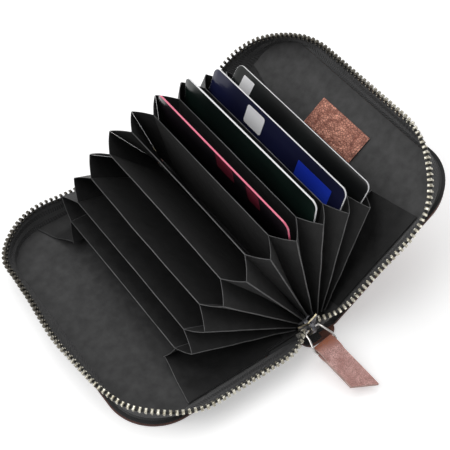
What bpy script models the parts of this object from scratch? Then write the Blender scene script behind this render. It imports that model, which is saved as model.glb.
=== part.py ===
"""Zip-around accordion card wallet, lying open on its back cover.

Units are metres, +Z is up. The spine runs along Y, its underside rests on z = 0, and the origin is
the middle of that underside. The back (left) cover lies flat towards -X, the front (right) cover
rises towards +X, and the ten dividers fan out between them from the spine. The near end is -Y.
"""

import math

import bmesh
import bpy
from mathutils import Matrix, Vector

# Shell: spine strip, covers and the layers that they are built from
SPINE_WIDTH = 0.0160
SPINE_LEATHER_LENGTH = 0.1210
SPINE_END_RADIUS = 0.0040
COVER_REACH = 0.0775
COVER_LENGTH = 0.1144
COVER_CORNER = 0.0180
RIGHT_COVER_RISE = math.radians(38.7)
LEATHER_THICKNESS = 0.0009
STIFFENER_THICKNESS = 0.0006
STIFFENER_INSET = 0.0030
LINING_THICKNESS = 0.0005
RIM_WIDTH = 0.0025
CLEARANCE = 0.0003

# Zip: two tape walls that carry the tooth chains round three sides of each cover
ZIP_FLARE = 0.0032
ZIP_END_FLARE = 0.00345
ZIP_CORNER = 0.0345
TAPE_THICKNESS = 0.0005
TOOTH_PITCH = 0.00205
TOOTH_WIDTH = 0.00085
TOOTH_DEPTH = 0.0018
TOOTH_BITE = 0.0005
CORD_TOP_DROP = 0.0008
CORD_HEIGHT = 0.0011
END_RUN_START = 0.0140
FAR_END_INSET = 0.0036
STOP_LENGTH = 0.0024
STOP_WALL = 0.0006

# Slider, its wire bail and the leather pull
SLIDER_LENGTH = 0.0084
SLIDER_MOUTH_WIDTH = 0.0086
SLIDER_TAIL_WIDTH = 0.0044
SLIDER_PLATE = 0.0008
SLIDER_GAP = 0.0026
SLIDER_POST_WIDTH = 0.0018
SLIDER_NOTCH = 0.0012
SLIDER_OFFSET = 0.0052
SLIDER_INSET = 0.0053
SLIDER_HEIGHT = 0.0110
CROWN_WIDTH = 0.0018
CROWN_WALL = 0.0007
CROWN_EYE = 0.0024
BAIL_WIRE = 0.0009
BAIL_CROWN_WIDTH = 0.0084
BAIL_PULL_WIDTH = 0.0120
BAIL_LENGTH = 0.0094
BAIL_BEND = 0.0012
BAIL_YAW = math.radians(7.0)
BAIL_DIP = math.radians(20.0)
PULL_WIDTH = 0.0094
PULL_LENGTH = 0.0191
PULL_SLANT = 0.0059
PULL_THICKNESS = 0.0018
PULL_DIP = math.radians(12.0)

# Accordion: dividers, the pleated gussets at both of their ends, and the strip they are sewn to
DIVIDER_COUNT = 10
DIVIDER_LEANS = [math.radians(a) for a in (-77.4, -66.4, -52.7, -39.2, -25.9, -14.4, -1.1, 12.2, 25.4, 36.3)]
DIVIDER_HEIGHT = 0.04975
DIVIDER_THICKNESS = 0.0003
DIVIDER_TOP_LENGTH = 0.0774
DIVIDER_FOOT_LENGTH = 0.0882
DIVIDER_FOOT_LIFT = 0.0005
DIVIDER_SEAM_HEIGHT = 0.0015
ACCORDION_SHIFT = 0.0017
SIDE_MARGIN = 0.00133
RIDGE_TOP_LENGTH = 0.0945
RIDGE_FOOT_LENGTH = 0.1080
GUSSET_THICKNESS = 0.0002
GUSSET_STANDOFF = 0.0002
GUSSET_FOOT_LIFT = 0.0024
POCKET_FLOOR_HEIGHT = 0.0006
POCKET_FLOOR_THICKNESS = 0.0002
POCKET_FLOOR_MARGIN = 0.0010
BASE_STRIP_THICKNESS = 0.00085
BASE_STRIP_LENGTH = 0.1080
BASE_STRIP_MARGIN = 0.0005

# Cards standing in pockets 6 to 9, and the flanges and patch on the linings
CARD_LENGTH = 0.0856
CARD_HEIGHT = 0.0540
CARD_THICKNESS = 0.00076
CARD_CORNER = 0.0032
CARD_POCKETS = (6, 7, 8, 9)
CARD_LEANS = [math.radians(a) for a in (-9.0, 4.4, 18.1, 30.1)]
CARD_SHIFTS = (-0.0018, -0.0005, -0.0006, -0.0004)
FLANGE_THICKNESS = 0.0003
FLANGE_FOOT = 0.0060
FLANGE_INSET = 0.0020
BACK_FLANGE_REACH = 0.0500
BACK_FLANGE_BREADTH = 0.0200
BACK_FLANGE_SLANT = 0.0060
FRONT_FLANGE_REACH = 0.0460
FRONT_FLANGE_BREADTH = 0.0120
FRONT_FLANGE_SLANT = 0.0140
PATCH_LENGTH = 0.0297
PATCH_WIDTH = 0.0132
PATCH_THICKNESS = 0.0006
PATCH_CENTRE_REACH = 0.0576

# The relief in the back lining's near corner, where the closed cover passes the slider
SLIDER_RELIEF_REACH = 0.0140
SLIDER_RELIEF_DEPTH = 0.0019

CORNER_STEPS = 8
CARD_CORNER_STEPS = 4

# A gusset's section has fourteen points: the near V, the far V, and the floor strip between them
GUSSET_STEPS = 6
GUSSET_LOOP = 14
NEAR_V_LOOP = (0, 1, 2, 3, 4, 12, 13)
FAR_V_LOOP = (5, 6, 7, 8, 9, 10, 11)
RIDGE_POINTS = (1, 4, 5, 8, 11, 12)
FLOOR_POINTS = (4, 5, 11, 12)

# Heights and places worked out from the sizes above
SPINE_HALF = SPINE_WIDTH / 2
LINING_TOP = LEATHER_THICKNESS + STIFFENER_THICKNESS + LINING_THICKNESS + 2 * CLEARANCE
WALL_HEIGHT = SPINE_HALF
DIVIDER_PITCH = (SPINE_WIDTH - 2 * SIDE_MARGIN) / (DIVIDER_COUNT - 1)
DIVIDER_SEAM_Z = LINING_TOP + DIVIDER_SEAM_HEIGHT
ZIP_REACH = COVER_REACH + ZIP_FLARE
ZIP_LENGTH = COVER_LENGTH + 2 * ZIP_END_FLARE
LINING_REACH = COVER_REACH - RIM_WIDTH
LINING_LENGTH = COVER_LENGTH - 2 * RIM_WIDTH
LINING_CORNER = COVER_CORNER - RIM_WIDTH
TAPE_REACH = LINING_REACH + CLEARANCE
TAPE_LENGTH = LINING_LENGTH + 2 * CLEARANCE
TAPE_CORNER = LINING_CORNER + CLEARANCE
CORD_TOP = WALL_HEIGHT - CORD_TOP_DROP
CORD_FOOT = CORD_TOP - CORD_HEIGHT
TAPE_TOP = CORD_FOOT - CLEARANCE
TAPE_FOOT = -LINING_THICKNESS - STIFFENER_THICKNESS - CLEARANCE
SLIDER_X = -SLIDER_OFFSET
SLIDER_Y = -ZIP_LENGTH / 2 + SLIDER_INSET
SLIDER_HALF_DEPTH = SLIDER_GAP / 2 + SLIDER_PLATE


def plain_material(name, colour, roughness, metallic=0.0):
    """One Principled BSDF with the piece's own colour."""
    material = bpy.data.materials.new(name)
    material.use_nodes = True
    shader = material.node_tree.nodes["Principled BSDF"]
    shader.inputs["Base Color"].default_value = (*colour, 1.0)
    shader.inputs["Roughness"].default_value = roughness
    shader.inputs["Metallic"].default_value = metallic
    return material


def make_materials():
    """The finishes of the photographed wallet."""
    return {
        "leather": plain_material("brown_leather", (0.30, 0.14, 0.10), 0.55),
        "board": plain_material("grey_board", (0.32, 0.31, 0.29), 0.85),
        "lining": plain_material("black_lining", (0.035, 0.035, 0.038), 0.75),
        "fabric": plain_material("black_pocket_fabric", (0.018, 0.018, 0.019), 0.70),
        "tape": plain_material("black_zip_tape", (0.022, 0.022, 0.024), 0.80),
        "brass": plain_material("pale_antique_brass", (0.62, 0.55, 0.40), 0.35, 1.0),
        "steel": plain_material("bright_slider_metal", (0.72, 0.70, 0.66), 0.25, 1.0),
        "card_plum": plain_material("plum_card", (0.02, 0.015, 0.02), 0.30),
        "card_green": plain_material("green_card", (0.012, 0.045, 0.030), 0.30),
        "card_navy": plain_material("navy_card", (0.015, 0.020, 0.065), 0.30),
        "card_black": plain_material("black_card", (0.012, 0.012, 0.013), 0.30),
    }


def add_object(name, mesh, material, parent=None):
    """Links one finished mesh as a named object."""
    thing = bpy.data.objects.new(name, mesh)
    bpy.context.scene.collection.objects.link(thing)
    if material is not None:
        mesh.materials.append(material)
    thing.parent = parent
    return thing


def add_pivot(name, place, turn=0.0, parent=None):
    """An empty on a hinge axis that runs along Y, leaned by turn about that axis."""
    pivot = bpy.data.objects.new(name, None)
    bpy.context.scene.collection.objects.link(pivot)
    pivot.location = place
    pivot.rotation_euler = (0.0, turn, 0.0)
    pivot.parent = parent
    return pivot


def mesh_from(name, points, faces):
    """A mesh whose faces all point out."""
    mesh = bpy.data.meshes.new(name)
    mesh.from_pydata([tuple(p) for p in points], [], faces)
    work = bmesh.new()
    work.from_mesh(mesh)
    bmesh.ops.recalc_face_normals(work, faces=work.faces)
    work.to_mesh(mesh)
    work.free()
    return mesh


def loft(name, sections):
    """A closed solid through sections that have the same number of points, capped at both ends."""
    count = len(sections[0])
    points = [p for section in sections for p in section]
    faces = [tuple(range(count)), tuple((len(sections) - 1) * count + i for i in range(count))]
    for level in range(len(sections) - 1):
        low, high = level * count, (level + 1) * count
        for i in range(count):
            j = (i + 1) % count
            faces.append((low + i, low + j, high + j, high + i))
    return mesh_from(name, points, faces)


def slab(name, outline, low, high):
    """A flat plate: an outline in X and Y, from height low to height high."""
    return loft(name, [[(x, y, z) for x, y in outline] for z in (low, high)])


def arc(centre_x, centre_y, radius, start, end, steps):
    """Points along a circular arc, both ends included."""
    angles = [start + (end - start) * i / steps for i in range(steps + 1)]
    return [(centre_x + radius * math.cos(a), centre_y + radius * math.sin(a)) for a in angles]


def cover_outline(start, reach, length, corner):
    """A cover seen from inside: square at the crease, round at its two outer corners."""
    half = length / 2
    outline = [(start, -half)]
    outline += arc(reach - corner, -half + corner, corner, -math.pi / 2, 0.0, CORNER_STEPS)
    outline += arc(reach - corner, half - corner, corner, 0.0, math.pi / 2, CORNER_STEPS)
    return outline + [(start, half)]


def rounded_rectangle(width, height, radius, steps):
    """A rectangle about the origin with four round corners."""
    x, y = width / 2 - radius, height / 2 - radius
    outline = []
    for quarter, (sx, sy) in enumerate(((1, 1), (-1, 1), (-1, -1), (1, -1))):
        start = quarter * math.pi / 2
        outline += arc(sx * x, sy * y, radius, start, start + math.pi / 2, steps)
    return outline


def union(name, pieces, material, parent=None):
    """Fuses overlapping meshes into one named solid."""
    base = add_object(name, pieces[0], material, parent)
    for i, piece in enumerate(pieces[1:]):
        helper = add_object(f"{name}_add_{i}", piece, None, parent)
        join_solid(base, helper, "UNION")
    return base


def join_solid(base, helper, operation):
    """Applies one exact Boolean of helper on base, and hides the helper from the build."""
    helper.hide_render = True
    helper.display_type = "WIRE"
    modifier = base.modifiers.new(helper.name, "BOOLEAN")
    modifier.operation = operation
    modifier.solver = "EXACT"
    modifier.object = helper


def box_mesh(name, low, high):
    """An upright box between two corners."""
    (x0, y0, z0), (x1, y1, z1) = low, high
    return slab(name, [(x0, y0), (x1, y0), (x1, y1), (x0, y1)], z0, z1)


def make_cover(side, hinge, materials):
    """One cover's layers: leather outside, stiffener, lining inside. Local X leads away from the crease."""
    start = CLEARANCE / 2
    layers = (
        ("cover_leather", "leather", COVER_REACH, COVER_LENGTH, COVER_CORNER, LEATHER_THICKNESS, 0.0),
        ("stiffener", "board", LINING_REACH - STIFFENER_INSET, LINING_LENGTH - 2 * STIFFENER_INSET,
         LINING_CORNER - STIFFENER_INSET, STIFFENER_THICKNESS, LEATHER_THICKNESS + CLEARANCE),
        ("lining", "lining", LINING_REACH, LINING_LENGTH, LINING_CORNER, LINING_THICKNESS,
         LEATHER_THICKNESS + STIFFENER_THICKNESS + 2 * CLEARANCE),
    )
    for label, finish, reach, length, corner, thickness, lift in layers:
        foot = lift - LINING_TOP
        outline = cover_outline(start, reach, length, corner)
        if (side, label) == ("left", "lining"):
            edge = length / 2
            inner = edge - SLIDER_RELIEF_DEPTH
            outline[-1:] = [(SLIDER_RELIEF_REACH, edge), (SLIDER_RELIEF_REACH, inner), (start, inner)]
        mesh = slab(f"{side}_{label}", outline, foot, foot + thickness)
        add_object(f"{side}_{label}", mesh, materials[finish], hinge)


def rail(reach, length, corner, start):
    """Points of a zip rail round three sides of a cover: near end, corner, long side, corner, far end."""
    return cover_outline(start, reach, length, corner)


def make_tape_wall(side, hinge, materials):
    """The tape: a thin wall that stands on the leather rim and flares out to the tooth chain."""
    half = TAPE_THICKNESS / 2
    foot_inner = rail(TAPE_REACH, TAPE_LENGTH, TAPE_CORNER, END_RUN_START)
    foot_outer = rail(TAPE_REACH + TAPE_THICKNESS, TAPE_LENGTH + 2 * TAPE_THICKNESS,
                      TAPE_CORNER + TAPE_THICKNESS, END_RUN_START)
    top_inner = rail(ZIP_REACH - half, ZIP_LENGTH - 2 * half, ZIP_CORNER - half, END_RUN_START)
    top_outer = rail(ZIP_REACH + half, ZIP_LENGTH + 2 * half, ZIP_CORNER + half, END_RUN_START)
    sections = [
        [(*a, TAPE_FOOT), (*b, TAPE_FOOT), (*c, TAPE_TOP), (*d, TAPE_TOP)]
        for a, b, c, d in zip(foot_inner, foot_outer, top_outer, top_inner)
    ]
    add_object(f"{side}_zip_tape", loft(f"{side}_zip_tape", sections), materials["tape"], hinge)


def chain_stretches():
    """The tooth line as stretches: (length, function of distance to (x, y, outward x, outward y))."""
    half = ZIP_LENGTH / 2
    straight = ZIP_REACH - ZIP_CORNER - END_RUN_START
    quarter = ZIP_CORNER * math.pi / 2
    side = ZIP_LENGTH - 2 * ZIP_CORNER
    centre_x, centre_y = ZIP_REACH - ZIP_CORNER, half - ZIP_CORNER

    def near(d):
        return END_RUN_START + d, -half, 0.0, -1.0

    def near_corner(d):
        a = -math.pi / 2 + d / ZIP_CORNER
        return (centre_x + ZIP_CORNER * math.cos(a), -centre_y + ZIP_CORNER * math.sin(a), math.cos(a), math.sin(a))

    def long_side(d):
        return ZIP_REACH, -centre_y + d, 1.0, 0.0

    def far_corner(d):
        a = d / ZIP_CORNER
        return (centre_x + ZIP_CORNER * math.cos(a), centre_y + ZIP_CORNER * math.sin(a), math.cos(a), math.sin(a))

    def far(d):
        return centre_x - d, half, 0.0, 1.0

    return [(straight, near), (quarter, near_corner), (side, long_side), (quarter, far_corner), (straight, far)]


def chain_point(distance):
    """Place and outward direction of the tooth line at a distance from its near end."""
    stretches = chain_stretches()
    for length, place in stretches:
        if distance <= length:
            return place(distance)
        distance -= length
    last_length, last_place = stretches[-1]
    return last_place(last_length)


def make_tooth_chain(side, hinge, phase, mirrored, materials):
    """Cord and teeth in one comb: the cord runs through, and each tooth stands up from it."""
    total = sum(length for length, _ in chain_stretches())
    count = int((total - TOOTH_PITCH) / TOOTH_PITCH)
    spare = (total - count * TOOTH_PITCH) / 2
    starts = [spare + (i + phase) * TOOTH_PITCH for i in range(count)]
    marks = [0.0]
    for start in starts:
        marks += [start, start + TOOTH_WIDTH]
    marks.append(total)
    flip = -1.0 if mirrored else 1.0
    tip = WALL_HEIGHT + TOOTH_BITE
    points, faces = [], []
    for mark in marks:
        x, y, nx, ny = chain_point(mark)
        for height in (CORD_FOOT, CORD_TOP, tip):
            for offset in (-TOOTH_DEPTH / 2, TOOTH_DEPTH / 2):
                points.append((x + nx * offset, flip * (y + ny * offset), height))
    for i in range(len(marks) - 1):
        a, b = 6 * i, 6 * (i + 1)
        is_tooth = i % 2 == 1
        faces.append((a, b, b + 1, a + 1))
        if is_tooth:
            faces.append((a, b, b + 2, b + 4, a + 4, a + 2))
            faces.append((a + 1, b + 1, b + 3, b + 5, a + 5, a + 3))
            faces.append((a + 4, b + 4, b + 5, a + 5))
            faces.append((a + 2, a + 4, a + 5, a + 3))
            faces.append((b + 2, b + 4, b + 5, b + 3))
        else:
            faces.append((a, b, b + 2, a + 2))
            faces.append((a + 1, b + 1, b + 3, a + 3))
            faces.append((a + 2, b + 2, b + 3, a + 3))
    last = 6 * (len(marks) - 1)
    faces.append((0, 1, 3, 2))
    faces.append((last, last + 1, last + 3, last + 2))
    mesh = mesh_from(f"{side}_tooth_chain", points, faces)
    loose = bmesh.new()
    loose.from_mesh(mesh)
    bmesh.ops.delete(loose, geom=[v for v in loose.verts if not v.link_faces], context="VERTS")
    loose.to_mesh(mesh)
    loose.free()
    add_object(f"{side}_tooth_chain", mesh, materials["brass"], hinge)


def make_end_run(name, hinge, end_side, finish_point, materials):
    """The soft last stretch of tape and teeth, from a cover's wall to the end of the spine."""
    turn = hinge.matrix_world
    half_wall, half_zip = TAPE_LENGTH / 2 + TAPE_THICKNESS / 2, ZIP_LENGTH / 2
    start_x = END_RUN_START - CLEARANCE
    wall_foot = turn @ Vector((start_x, end_side * half_wall, TAPE_FOOT))
    wall_top = turn @ Vector((start_x, end_side * half_zip, WALL_HEIGHT))
    end_foot = Vector((finish_point.x, finish_point.y, finish_point.z - SLIDER_LENGTH / 2))
    end_top = Vector((finish_point.x, finish_point.y, finish_point.z + SLIDER_LENGTH / 2))
    depth = Vector((0.0, TAPE_THICKNESS, 0.0))
    sections = []
    for i in range(CARD_CORNER_STEPS + 1):
        share = i / CARD_CORNER_STEPS
        ease = share * share * (3 - 2 * share)
        foot, top = wall_foot.lerp(end_foot, share), wall_top.lerp(end_top, share)
        foot.y = wall_foot.y + (end_foot.y - wall_foot.y) * ease
        top.y = wall_top.y + (end_top.y - wall_top.y) * ease
        sections.append([foot - depth, foot + depth, top + depth, top - depth])
    add_object(name, loft(name, sections), materials["tape"])


def make_zip_stop(name, place, parent, materials):
    """A small folded metal clip on the end of a chain."""
    x, y, z = place
    half_length, half_depth = STOP_LENGTH / 2, TOOTH_DEPTH / 2 + STOP_WALL
    low = (x - half_length, y - half_depth, z - half_length)
    high = (x + half_length, y + half_depth, z + half_length)
    add_object(name, box_mesh(name, low, high), materials["brass"], parent)


def make_spine(materials):
    """The strip between the two creases, with its stiffener, lining and the accordion's base strip."""
    width = SPINE_WIDTH - CLEARANCE
    leather = rounded_rectangle(width, SPINE_LEATHER_LENGTH, SPINE_END_RADIUS, CARD_CORNER_STEPS)
    add_object("spine_leather", slab("spine_leather", leather, 0.0, LEATHER_THICKNESS), materials["leather"])
    stiffener_foot = LEATHER_THICKNESS + CLEARANCE
    stiffener_top = stiffener_foot + STIFFENER_THICKNESS
    half = LINING_LENGTH / 2
    low = (-width / 2, -half, stiffener_foot)
    add_object("spine_stiffener", box_mesh("spine_stiffener", low, (width / 2, half, stiffener_top)),
               materials["board"])
    low = (-width / 2, -half, stiffener_top + CLEARANCE)
    add_object("spine_lining", box_mesh("spine_lining", low, (width / 2, half, LINING_TOP)), materials["lining"])
    strip_half = (DIVIDER_COUNT - 1) * DIVIDER_PITCH / 2 + BASE_STRIP_MARGIN
    strip_foot = LINING_TOP + CLEARANCE
    low = (-strip_half, ACCORDION_SHIFT - BASE_STRIP_LENGTH / 2, strip_foot)
    high = (strip_half, ACCORDION_SHIFT + BASE_STRIP_LENGTH / 2, strip_foot + BASE_STRIP_THICKNESS)
    add_object("accordion_base_strip", box_mesh("accordion_base_strip", low, high), materials["fabric"])


def divider_x(index):
    """Where a divider is sewn to the base strip. Half numbers are the pockets between dividers."""
    return (index - (DIVIDER_COUNT - 1) / 2) * DIVIDER_PITCH


def divider_half_length(height):
    """Half the divider's length at a height above its seam: it narrows towards its top edge."""
    share = (height - DIVIDER_FOOT_LIFT) / (DIVIDER_HEIGHT - DIVIDER_FOOT_LIFT)
    return (DIVIDER_FOOT_LENGTH + (DIVIDER_TOP_LENGTH - DIVIDER_FOOT_LENGTH) * share) / 2


def ridge_half_length(height):
    """Half the distance between the outer ridges of the two gussets at a height above the seam."""
    share = (height - GUSSET_FOOT_LIFT) / (DIVIDER_HEIGHT - GUSSET_FOOT_LIFT)
    return (RIDGE_FOOT_LENGTH + (RIDGE_TOP_LENGTH - RIDGE_FOOT_LENGTH) * share) / 2


def make_dividers(materials):
    """Ten stiff panels, each hinged along its seam on the base strip."""
    half = DIVIDER_THICKNESS / 2
    for index, lean in enumerate(DIVIDER_LEANS):
        pivot = add_pivot(f"divider_{index:02d}_seam", (divider_x(index), ACCORDION_SHIFT, DIVIDER_SEAM_Z), lean)
        sections = []
        for height in (DIVIDER_FOOT_LIFT, DIVIDER_HEIGHT):
            y = divider_half_length(height)
            sections.append([(-half, -y, height), (half, -y, height), (half, y, height), (-half, y, height)])
        name = f"divider_{index:02d}"
        add_object(name, loft(name, sections), materials["fabric"], pivot)


def pocket_sides(pocket):
    """The two planes that a pocket lies between: (seam x, seam z, direction x, direction z, standoff) each."""

    def divider_plane(index):
        lean = DIVIDER_LEANS[index]
        return divider_x(index), DIVIDER_SEAM_Z, math.sin(lean), math.cos(lean), GUSSET_STANDOFF

    flange_top = 2 * CLEARANCE + FLANGE_THICKNESS
    if pocket == 0:
        left = (-SPINE_HALF, LINING_TOP, -1.0, 0.0, flange_top)
    else:
        left = divider_plane(pocket - 1)
    if pocket == DIVIDER_COUNT:
        rise = RIGHT_COVER_RISE
        right = (SPINE_HALF, LINING_TOP, math.cos(rise), math.sin(rise), flange_top)
    else:
        right = divider_plane(pocket)
    return left, right


def across_pocket(pocket, height, offset, from_right=False):
    """A point between a pocket's two sides at a height, by its distance from one of them."""
    left, right = pocket_sides(pocket)
    ends = [Vector((x + dx * height, 0.0, z + dz * height)) for x, z, dx, dz, _ in (left, right)]
    gap = (ends[1] - ends[0]).length
    share = 1.0 - offset / gap if from_right else offset / gap
    return ends[0].lerp(ends[1], share), gap


def gusset_section(pocket, height):
    """Fourteen points round a gusset at one height: near V, floor strip, far V, and back."""
    left, right = pocket_sides(pocket)
    fold = divider_half_length(height) + CLEARANCE
    ridge = ridge_half_length(height)
    left_out, gap = across_pocket(pocket, height, left[4])
    right_out, _ = across_pocket(pocket, height, right[4], True)
    left_in, _ = across_pocket(pocket, height, left[4] + GUSSET_THICKNESS)
    right_in, _ = across_pocket(pocket, height, right[4] + GUSSET_THICKNESS, True)
    middle = (gap + left[4] - right[4]) / 2
    half_open = (gap - left[4] - right[4]) / 2
    half_strip = POCKET_FLOOR_THICKNESS / 2
    ridge_point, _ = across_pocket(pocket, height, middle)
    strip_left, _ = across_pocket(pocket, height, middle - half_strip)
    strip_right, _ = across_pocket(pocket, height, middle + half_strip)
    inner = fold + (ridge - fold) * (half_open - GUSSET_THICKNESS - half_strip) / half_open
    corners = ((left_out, -fold), (ridge_point, -ridge), (right_out, -fold), (right_in, -fold),
               (strip_right, -inner), (strip_right, inner), (right_in, fold), (right_out, fold),
               (ridge_point, ridge), (left_out, fold), (left_in, fold), (strip_left, inner),
               (strip_left, -inner), (left_in, -fold))
    return [(p.x, ACCORDION_SHIFT + y, p.z) for p, y in corners]


def wall_faces(i, j, low, high):
    """One cell of a gusset's wall, split from its low fold corner to its high ridge corner."""
    if (i in RIDGE_POINTS) == (j in RIDGE_POINTS):
        return [(low + i, low + j, high + j, high + i)]
    if i in RIDGE_POINTS:
        return [(low + i, low + j, high + i), (low + j, high + j, high + i)]
    return [(low + i, low + j, high + j), (low + i, high + j, high + i)]


def make_gussets(materials):
    """Each pocket's pleat: a V at both ends that points outwards, joined by the narrow pocket floor."""
    floor_top = GUSSET_FOOT_LIFT + POCKET_FLOOR_HEIGHT
    rise = (DIVIDER_HEIGHT - floor_top) / GUSSET_STEPS
    heights = [GUSSET_FOOT_LIFT] + [floor_top + rise * step for step in range(GUSSET_STEPS + 1)]
    for pocket in range(DIVIDER_COUNT + 1):
        points = [p for height in heights for p in gusset_section(pocket, height)]
        faces = [tuple(range(GUSSET_LOOP))]
        for i in range(GUSSET_LOOP):
            faces += wall_faces(i, (i + 1) % GUSSET_LOOP, 0, GUSSET_LOOP)
        faces.append(tuple(GUSSET_LOOP + i for i in FLOOR_POINTS))
        for ring in (NEAR_V_LOOP, FAR_V_LOOP):
            for level in range(1, GUSSET_STEPS + 1):
                low = level * GUSSET_LOOP
                for i, j in zip(ring, ring[1:] + ring[:1]):
                    faces += wall_faces(i, j, low, low + GUSSET_LOOP)
            faces.append(tuple((GUSSET_STEPS + 1) * GUSSET_LOOP + i for i in ring))
        name = f"pocket_gusset_{pocket:02d}"
        add_object(name, mesh_from(name, points, faces), materials["fabric"])


def make_cards(materials):
    """Four standard cards, each upright in its own pocket on the pocket's floor."""
    finishes = ("card_plum", "card_green", "card_navy", "card_black")
    outline = rounded_rectangle(CARD_HEIGHT, CARD_LENGTH, CARD_CORNER, CARD_CORNER_STEPS)
    foot = GUSSET_FOOT_LIFT + POCKET_FLOOR_HEIGHT + CLEARANCE
    for number, pocket in enumerate(CARD_POCKETS):
        place = (divider_x(pocket - 0.5), ACCORDION_SHIFT + CARD_SHIFTS[number], DIVIDER_SEAM_Z)
        pivot = add_pivot(f"card_{number + 1}_lean", place, CARD_LEANS[number])
        half = CARD_THICKNESS / 2
        sections = [[(x, y, foot + CARD_HEIGHT / 2 + z) for z, y in outline] for x in (-half, half)]
        name = f"card_{number + 1}"
        add_object(name, loft(name, sections), materials[finishes[number]], pivot)


def make_flange(name, hinge, end_side, reach, breadth, slant, materials):
    """The hemmed end of the accordion's outer pleat, laid flat on a cover's lining."""
    edge = LINING_LENGTH / 2 - FLANGE_INSET
    outline = [(FLANGE_FOOT, end_side * edge), (reach + slant, end_side * edge),
               (reach, end_side * (edge - breadth)), (FLANGE_FOOT, end_side * (edge - breadth / 4))]
    mesh = slab(name, outline, CLEARANCE, CLEARANCE + FLANGE_THICKNESS)
    add_object(name, mesh, materials["fabric"], hinge)


def make_patch(hinge, materials):
    """The small leather patch sewn on the front cover's lining."""
    outline = rounded_rectangle(PATCH_WIDTH, PATCH_LENGTH, PATCH_THICKNESS, CARD_CORNER_STEPS)
    outline = [(PATCH_CENTRE_REACH + x, y) for x, y in outline]
    mesh = slab("lining_patch", outline, CLEARANCE, CLEARANCE + PATCH_THICKNESS)
    add_object("lining_patch", mesh, materials["leather"], hinge)


def make_slider(materials):
    """Two shaped plates on a post, with a bridge on the outer plate that holds the bail."""
    pivot = add_pivot("slider_place", (SLIDER_X, SLIDER_Y, SLIDER_HEIGHT))
    half = SLIDER_LENGTH / 2
    mouth, tail = SLIDER_MOUTH_WIDTH / 2, SLIDER_TAIL_WIDTH / 2
    outline = [(-mouth, half), (-mouth, 0.0), (-tail, -half), (tail, -half), (mouth, 0.0), (mouth, half),
               (0.0, half - SLIDER_NOTCH)]
    pieces = []
    for foot in (-SLIDER_HALF_DEPTH, SLIDER_GAP / 2):
        sections = [[(x, y, z) for x, z in outline] for y in (foot, foot + SLIDER_PLATE)]
        pieces.append(loft("slider_plate", sections))
    post = SLIDER_POST_WIDTH / 2
    bite = SLIDER_PLATE / 2
    pieces.insert(1, box_mesh("slider_post", (-post, -SLIDER_GAP / 2 - bite, 0.0),
                              (post, SLIDER_GAP / 2 + bite, half - SLIDER_NOTCH - post)))
    eye, wall = CROWN_EYE / 2, CROWN_WALL
    face = -SLIDER_HALF_DEPTH
    arch = [(face + bite, eye + wall), (face - CROWN_EYE - wall, eye + wall),
            (face - CROWN_EYE - wall, -eye - wall), (face + bite, -eye - wall),
            (face + bite, -eye), (face - CROWN_EYE, -eye), (face - CROWN_EYE, eye), (face + bite, eye)]
    sections = [[(x, y, z) for y, z in arch] for x in (-CROWN_WIDTH / 2, CROWN_WIDTH / 2)]
    pieces.append(loft("slider_crown", sections))
    union("zip_slider", pieces, materials["steel"], pivot)


def bail_axis_place():
    """Where the bail's inner bar lies in the slider's crown."""
    return Vector((SLIDER_X, SLIDER_Y - SLIDER_HALF_DEPTH - CROWN_EYE / 2, SLIDER_HEIGHT))


def bail_turn(dip):
    """The way out along the bail or the pull: yawed about Z, then dipped towards the table."""
    return Matrix.Rotation(BAIL_YAW, 4, "Z") @ Matrix.Rotation(dip, 4, "X")


def pull_axis_place():
    """Where the bail's outer bar, which carries the pull, lies."""
    return bail_axis_place() + bail_turn(BAIL_DIP) @ Vector((0.0, -BAIL_LENGTH, 0.0))


def make_bail(materials):
    """A closed loop of wire, wider at the pull than in the crown."""
    inner, outer = BAIL_CROWN_WIDTH / 2, BAIL_PULL_WIDTH / 2
    bend = BAIL_BEND
    half_loop = [(0.0, 0.0), (inner - bend, 0.0), (inner, -bend), (outer, -BAIL_LENGTH + bend),
                 (outer - bend, -BAIL_LENGTH), (0.0, -BAIL_LENGTH)]
    loop = half_loop + [(-x, y) for x, y in reversed(half_loop[1:-1])]
    curve = bpy.data.curves.new("pull_bail", "CURVE")
    curve.dimensions = "3D"
    spline = curve.splines.new("POLY")
    spline.points.add(len(loop) - 1)
    for point, (x, y) in zip(spline.points, loop):
        point.co = (x, y, 0.0, 1.0)
    spline.use_cyclic_u = True
    curve.bevel_depth = BAIL_WIRE / 2
    curve.bevel_resolution = 1
    curve.materials.append(materials["steel"])
    bail = bpy.data.objects.new("pull_bail", curve)
    bpy.context.scene.collection.objects.link(bail)
    bail.matrix_world = Matrix.Translation(bail_axis_place()) @ bail_turn(BAIL_DIP)


def make_pull(materials):
    """A strap folded round the bail's outer bar, its end cut on a slant."""
    half = PULL_THICKNESS / 2
    eye = BAIL_WIRE / 2 + CLEARANCE
    head = eye + half
    neck = 2 * head
    sections = []
    for x, extra in ((-PULL_WIDTH / 2, 0.0), (PULL_WIDTH / 2, PULL_SLANT)):
        tip = -(PULL_LENGTH + extra)
        profile = [(tip, -half), (tip, half), (-neck, half)]
        profile += arc(0.0, 0.0, head, 3 * math.pi / 4, -3 * math.pi / 4, CORNER_STEPS)
        profile.append((-neck, -half))
        sections.append([(x, y, z) for y, z in profile])
    turn = Matrix.Translation(pull_axis_place()) @ bail_turn(PULL_DIP)
    pull = add_object("pull_tab", loft("pull_tab", sections), materials["leather"])
    pull.matrix_world = turn
    reach = PULL_WIDTH / 2 + eye
    ring = arc(0.0, 0.0, eye, 0.0, 2 * math.pi, 2 * CARD_CORNER_STEPS)[:-1]
    cutter = add_object("pull_eye_cutter", loft("pull_eye", [[(x, y, z) for y, z in ring] for x in (-reach, reach)]),
                        None)
    cutter.matrix_world = turn
    join_solid(pull, cutter, "DIFFERENCE")


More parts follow.
